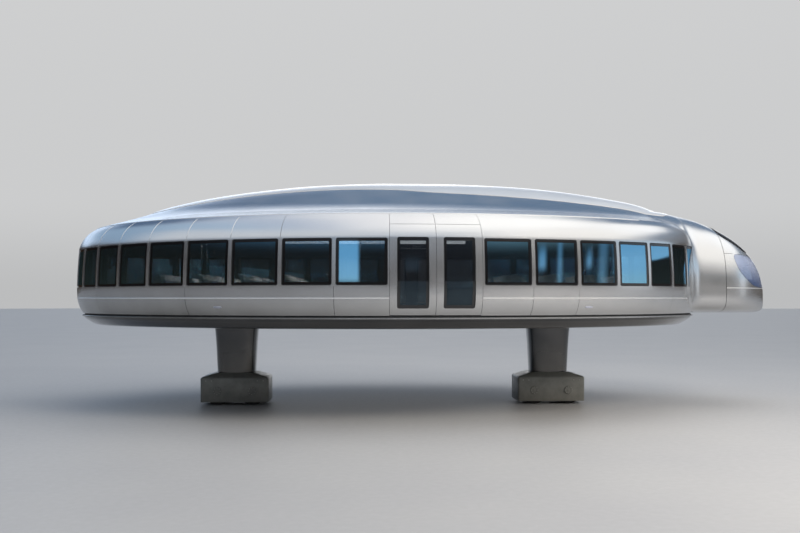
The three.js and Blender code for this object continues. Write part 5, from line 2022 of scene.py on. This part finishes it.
def post_pair(name, side_path, y, radius):
    """Two like tubes, one on each side of the middle."""
    return [
        tube_mesh(name, [(x, side * y, z) for x, z in side_path], radius, [rail_steel]) for side in (-1, 1)
    ]


def make_driver_place():
    upright = leaning(DRIVER_LEAN)
    pads = [
        filled_pad("driver_cushion", DRIVER_CUSHION, DRIVER_CUSHION_PLACE),
        filled_pad("driver_rest", DRIVER_REST, DRIVER_REST_PLACE, upright),
        filled_pad("driver_head", DRIVER_HEAD, DRIVER_HEAD_PLACE, upright),
        *[filled_pad("driver_arm", DRIVER_ARM, place) for place in DRIVER_ARM_PLACES],
    ]
    piece_from(pads, "driver_seat_pads", on_hull=False)
    pedestal = lathe_mesh("pedestal", PEDESTAL_PROFILE, 48, [block_metal])
    meshes = [
        moulded_shell(DRIVER_SHELL, *DRIVER_SHELL_SIZES, [control_black]),
        moved(pedestal, (PEDESTAL_X, 0, CAB_FLOOR), 90),
        *post_pair("arm_post", ARM_POST, ARM_POST_Y, ARM_POST_R),
        *post_pair("head_post", HEAD_POST, HEAD_POST_Y, HEAD_POST_R),
    ]
    piece_from(meshes, "driver_seat_frame", replaces=["driver_seat"], on_hull=False)


def make_driver_desk():
    outline = [(x, CAB_FLOOR + z) for x, z in DESK_OUTLINE]
    body = prism_mesh("desk", outline, DESK_GAP - DESK_HALF_WIDTH, DESK_HALF_WIDTH - DESK_GAP, "Y")
    body.materials.append(block_metal)
    with editing(body) as work:
        sharp = [edge for edge in work.edges if edge.calc_face_angle(0) > 0.3]
        bmesh.ops.bevel(work, geom=sharp, offset=DESK_BEVEL, segments=2, profile=0.5, affect="EDGES")
    set_smooth(body)
    half_x, half_y = DISPLAY_HALF
    low_z, high_z = DISPLAY_Z
    details = []
    for y in DISPLAY_Y:
        low, high = (-half_x, y - half_y, low_z), (half_x, y + half_y, high_z)
        details.append(box_mesh("display", low, high, [frit_black], DISPLAY_BEVEL))
    for name, profile, steps, material, places in (
        ("grip", GRIP_PROFILE, 20, control_black, GRIP_PLACES),
        ("button", BUTTON_PROFILE, 16, pale_plastic, BUTTON_PLACES),
    ):
        for x, y in places:
            details.append(moved(lathe_mesh(name, profile, steps, [material]), (x, y, 0), 90))
    for detail in details:
        detail.transform(Matrix.Translation(PANEL_PLACE) @ Matrix.Rotation(-PANEL_SLOPE, 4, "Y"))
    piece_from([body, *details], "driver_desk_skin", replaces=["driver_desk"], on_hull=False)


def make_grab_rails():
    y = -RAIL_Y
    rail = [(x, y, RAIL_Z) for x in np.linspace(*RAIL_ENDS, 12)]
    meshes = [tube_mesh("rail", rail, RAIL_R, [rail_steel], RAIL_SIDES)]
    for x in POST_X:
        meshes.append(tube_mesh("post", [(x, y, z) for z in POST_HEIGHTS], POST_R, [rail_steel], RAIL_SIDES))
        clamp = lathe_mesh("clamp", CLAMP_PROFILE, 20, [rail_steel])
        meshes.append(moved(clamp, (x, y, RAIL_Z), 90))
        for z in FLANGE_HEIGHTS:
            flange = lathe_mesh("flange", FLANGE_PROFILE, 24, [rail_steel])
            meshes.append(moved(flange, (x, y, z), 90))
    add_both_sides(meshes, "grab_rail_tubes", "grab_rail", on_hull=False)


def make_ceiling_lights():
    strips = []
    for (y, half_width, tall, reach), glow in zip(CEILING_STRIPS, (cabin_light, cove_light)):
        for middle in (-y, y):
            low = (HULL_X - reach, middle - half_width, CEILING_Z - tall)
            high = (HULL_X + reach - STRIP_FRONT_GAP, middle + half_width, CEILING_Z - CABIN_GAP)
            strips.append(box_mesh("strip", low, high, [glow], bevel=STRIP_BEVEL))
    piece_from(strips, "ceiling_lights", on_hull=False)


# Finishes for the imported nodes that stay


def finish_nodes():
    finishes = {"floor_deck": floor_rubber, "power_unit": block_metal, "ceiling_panel": cabin_plastic}
    for node, material in finishes.items():
        for slot in nodes[node].material_slots:
            slot.material = material


# Floor, light and camera


FLOOR_RADIUS = 220.0

# Soft room colours by height (sine of elevation), or by direction along the car (tail 0, nose 1)
ROOM_STRENGTH = 1.5
FRONT_SKY = [
    (0.00, (0.030, 0.022, 0.015)),
    (0.07, (0.014, 0.008, 0.005)),
    (0.16, (0.018, 0.012, 0.010)),
    (0.30, (0.22, 0.26, 0.32)),
    (0.50, (0.50, 0.53, 0.57)),
]
SUNNY_FRONT_SKY = [
    (0.00, (0.16, 0.15, 0.14)),
    (0.05, (0.026, 0.020, 0.016)),
    (0.09, (0.010, 0.008, 0.007)),
    (0.15, (0.020, 0.018, 0.017)),
    (0.26, (0.42, 0.41, 0.40)),
    (0.50, (0.85, 0.82, 0.78)),
]
BACK_SKY = [
    (0.00, (0.10, 0.10, 0.11)),
    (0.06, (0.14, 0.14, 0.15)),
    (0.125, (1.30, 1.31, 1.32)),
    (0.30, (1.20, 1.21, 1.23)),
    (0.38, (0.56, 0.61, 0.68)),
    (0.44, (0.20, 0.26, 0.35)),
    (0.52, (0.03, 0.085, 0.165)),
    (0.62, (0.035, 0.095, 0.185)),
]
BACK_TINT = [
    (0.00, (0.35, 0.45, 0.58)),
    (0.35, (0.48, 0.58, 0.72)),
    (0.50, (0.95, 0.96, 0.98)),
    (1.00, (1.0, 1.0, 1.0)),
]
BACK_TAIL_COLOR = (0.20, 0.30, 0.42)
BACK_NOSE_COLOR = (0.93, 0.93, 0.93)
NOSE_LIFT = 0.11
LOW_SKY = [
    (0.00, (0.30, 0.30, 0.30)),
    (0.04, (0.60, 0.60, 0.60)),
    (0.10, (0.50, 0.56, 0.64)),
    (0.17, (0.36, 0.48, 0.60)),
    (0.40, (0.26, 0.32, 0.40)),
]
LOW_DARK = [
    (0.00, (0.034, 0.024, 0.016)),
    (0.14, (0.016, 0.010, 0.007)),
    (0.40, (0.10, 0.12, 0.15)),
]
HIGH_SKY = [
    (0.00, (0.32, 0.43, 0.56)),
    (0.20, (0.29, 0.40, 0.53)),
    (0.35, (0.38, 0.44, 0.54)),
    (0.50, (0.76, 0.75, 0.76)),
    (0.62, (1.00, 0.98, 0.95)),
    (0.77, (1.00, 0.98, 0.95)),
    (0.84, (0.80, 0.79, 0.78)),
]

# Soft edges in the room: where the share of the second colour starts and where it is whole
SUNNY_EDGE = (0.15, 0.62)
LIFT_EDGE = (0.0, 0.28)
BACK_EDGE = (-0.25, 0.25)
HIGH_EDGE = (0.64, 0.86)
BACK_TAIL_EDGES = [("x", -0.42, -0.62), ("z", 0.25, 0.45)]
BACK_NOSE_EDGES = [("x", 0.51, 0.62), ("z", 0.44, 0.54)]
AHEAD_EDGES = [("x", 0.84, 0.92), ("z", 0.42, 0.22)]
DARK_PATCHES = [
    [("x", -0.62, -0.85), ("z", 0.42, 0.22)],
    [("x", 0.38, 0.56), ("z", 0.48, 0.34), ("y", 0.1, 0.3)],
    [("x", -0.25, -0.45), ("z", 0.20, 0.12)],
    [*AHEAD_EDGES, ("y", -0.05, 0.0)],
]
SKY_PATCHES = [
    [*AHEAD_EDGES, ("y", -0.37, -0.31), ("y", 0.0, -0.05)],
    [*AHEAD_EDGES, ("y", -0.05, 0.0), ("y", 0.30, 0.26), ("z", 0.099, 0.107)],
]

# Gaps of sky low in front: low and high x, low and high z of the direction, and their share
SKY_GAPS = [
    (-0.215, -0.125, 0.055, 0.30, 1.0),
    (0.09, 0.15, 0.09, 0.15, 0.5),
    (0.665, 0.690, 0.10, 0.17, 0.7),
    (0.738, 0.752, 0.02, 0.20, 0.5),
    (0.846, 0.860, 0.10, 0.15, 0.7),
    (0.885, 0.910, 0.02, 0.20, 0.35),
]
GAP_SIDE = 0.01
GAP_FOOT = 0.02
GAP_TOP = 0.03
GAP_FRONT_EDGE = ("y", 0.1, -0.1)

# Lights: name, place, target, size, power and colour
LIGHTS = [
    ("key", (12, -16, 13), (4, -8, 0), 8, 2900, (1.0, 0.91, 0.80)),
    ("far", (38, -34, 22), (38, -34, 0), 30, 10000, (1.0, 0.92, 0.82)),
    ("fill", (-18, -14, 14), (-2, 0, 3), 12, 50, (0.82, 0.90, 1.00)),
    ("top", (8, 2, 25), (6, 0, 0), 14, 780, (1.0, 1.0, 1.0)),
]

# The pale backdrop that the camera sees, from the floor's far edge upwards
BACKDROP = [
    (0.00, (0.50, 0.505, 0.51)),
    (0.10, (0.60, 0.605, 0.61)),
    (0.60, (0.66, 0.665, 0.67)),
]


def make_stage():
    turn = np.linspace(0, 2 * math.pi, 96, endpoint=False)
    points = [(FLOOR_RADIUS * math.cos(t), FLOOR_RADIUS * math.sin(t), 0) for t in turn]
    mesh = bpy.data.meshes.new("stage_floor")
    mesh.from_pydata(points, [], [tuple(range(len(points)))])
    mesh.materials.append(surface("stage_floor", (0.37, 0.37, 0.37), (0.35, 0.35, 0.355), spread_scale=0.3,
                                  roughness=0.6))
    floor = bpy.data.objects.new("stage_floor", mesh)
    bpy.context.scene.collection.objects.link(floor)


def make_world():
    """A soft studio room: pale where the camera sees it, dark low down and bright over it in reflections."""
    world = bpy.data.worlds.new("studio")
    bpy.context.scene.world = world
    world.use_nodes = True
    world.node_tree.nodes.clear()
    graph = Graph(world.node_tree)
    x, y, z = graph.split(graph.add("TexCoord", output="Generated"))
    axes = {"x": x, "y": y, "z": z}

    def ramp(source, stops):
        color = graph.add("ValToRGB", {"Fac": source}, "Color")
        color.node.color_ramp.interpolation = "EASE"
        elements = color.node.color_ramp.elements
        while len(elements) < len(stops):
            elements.new(0.5)
        for element, (place, tint) in zip(elements, stops):
            element.position = place
            element.color = (*tint, 1)
        return color

    def share(source, start, end):
        return graph.ranged(source, start, end, shape="SMOOTHSTEP")

    def patch(edges, part=1.0):
        for axis, start, end in edges:
            part = graph.math("MULTIPLY", part, share(axes[axis], start, end))
        return part

    along = graph.ranged(x, -1, 1)
    front = graph.mixed(share(x, *SUNNY_EDGE), ramp(z, FRONT_SKY), ramp(z, SUNNY_FRONT_SKY))
    lifted = graph.math("MULTIPLY_ADD", share(x, *LIFT_EDGE), NOSE_LIFT, z)
    back = graph.mixed(1.0, ramp(lifted, BACK_SKY), ramp(along, BACK_TINT), "MULTIPLY")
    back = graph.mixed(patch(BACK_TAIL_EDGES), back, BACK_TAIL_COLOR)
    back = graph.mixed(patch(BACK_NOSE_EDGES), back, BACK_NOSE_COLOR)
    room = graph.mixed(share(y, *BACK_EDGE), front, back)
    room = graph.mixed(share(z, *HIGH_EDGE), room, ramp(along, HIGH_SKY))
    dark = ramp(z, LOW_DARK)
    sky = ramp(z, LOW_SKY)
    for edges in DARK_PATCHES:
        room = graph.mixed(patch(edges), room, dark)
    for edges in SKY_PATCHES:
        room = graph.mixed(patch(edges), room, sky)
    for low_x, high_x, low_z, high_z, part in SKY_GAPS:
        edges = [
            ("x", low_x - GAP_SIDE, low_x + GAP_SIDE),
            ("x", high_x + GAP_SIDE, high_x - GAP_SIDE),
            ("z", low_z - GAP_FOOT, low_z + GAP_FOOT),
            ("z", high_z + GAP_TOP, high_z - GAP_TOP),
            GAP_FRONT_EDGE,
        ]
        room = graph.mixed(patch(edges, part), room, sky)

    seen = graph.add("Background", {"Color": ramp(z, BACKDROP)})
    lit = graph.add("Background", {"Color": room, "Strength": ROOM_STRENGTH})
    by_camera = graph.add("LightPath", output="Is Camera Ray")
    graph.add("OutputWorld", {"Surface": graph.add("MixShader", {"Fac": by_camera, 1: lit, 2: seen})})


def make_lights():
    for name, place, target, size, power, color in LIGHTS:
        light = bpy.data.lights.new(name, "AREA")
        light.shape = "DISK"
        light.size = size
        light.energy = power
        light.color = color
        lamp = bpy.data.objects.new(name, light)
        lamp.visible_glossy = False
        lamp.location = place
        lamp.rotation_euler = (Vector(target) - Vector(place)).to_track_quat("-Z", "Y").to_euler()
        bpy.context.scene.collection.objects.link(lamp)


CAMERA_PLACE = (-1.555, -24.335, 2.65)
CAMERA_HEADING = (0.038, 0.9993, 0.0)
FOCAL_PIXELS = 966.0
FRAME_WIDTH = 800.0
FRAME_MIDDLE_Y = 266.5
HORIZON_Y = 297.3
SENSOR_MM = 36.0


def make_camera():
    data = bpy.data.cameras.new("camera")
    data.sensor_width = SENSOR_MM
    data.lens = FOCAL_PIXELS / FRAME_WIDTH * SENSOR_MM
    data.shift_y = (HORIZON_Y - FRAME_MIDDLE_Y) / FRAME_WIDTH
    data.clip_end = 1000
    camera = bpy.data.objects.new("camera", data)
    camera.location = CAMERA_PLACE
    camera.rotation_euler = Vector(CAMERA_HEADING).to_track_quat("-Z", "Y").to_euler()
    bpy.context.scene.collection.objects.link(camera)
    bpy.context.scene.camera = camera
    bpy.context.scene.view_settings.view_transform = "Standard"


make_camera()
make_stage()
make_world()
make_lights()
make_walls()
make_doors()
make_trims()
make_roof()
make_ridge_cap()
make_underside()
make_pod()
make_nose()
make_headlamps()
make_bumper_trim()
make_legs()
make_feet()
make_wheelsets()
make_wheels()
make_passenger_seats()
make_driver_place()
make_driver_desk()
make_grab_rails()
make_ceiling_lights()
finish_nodes()
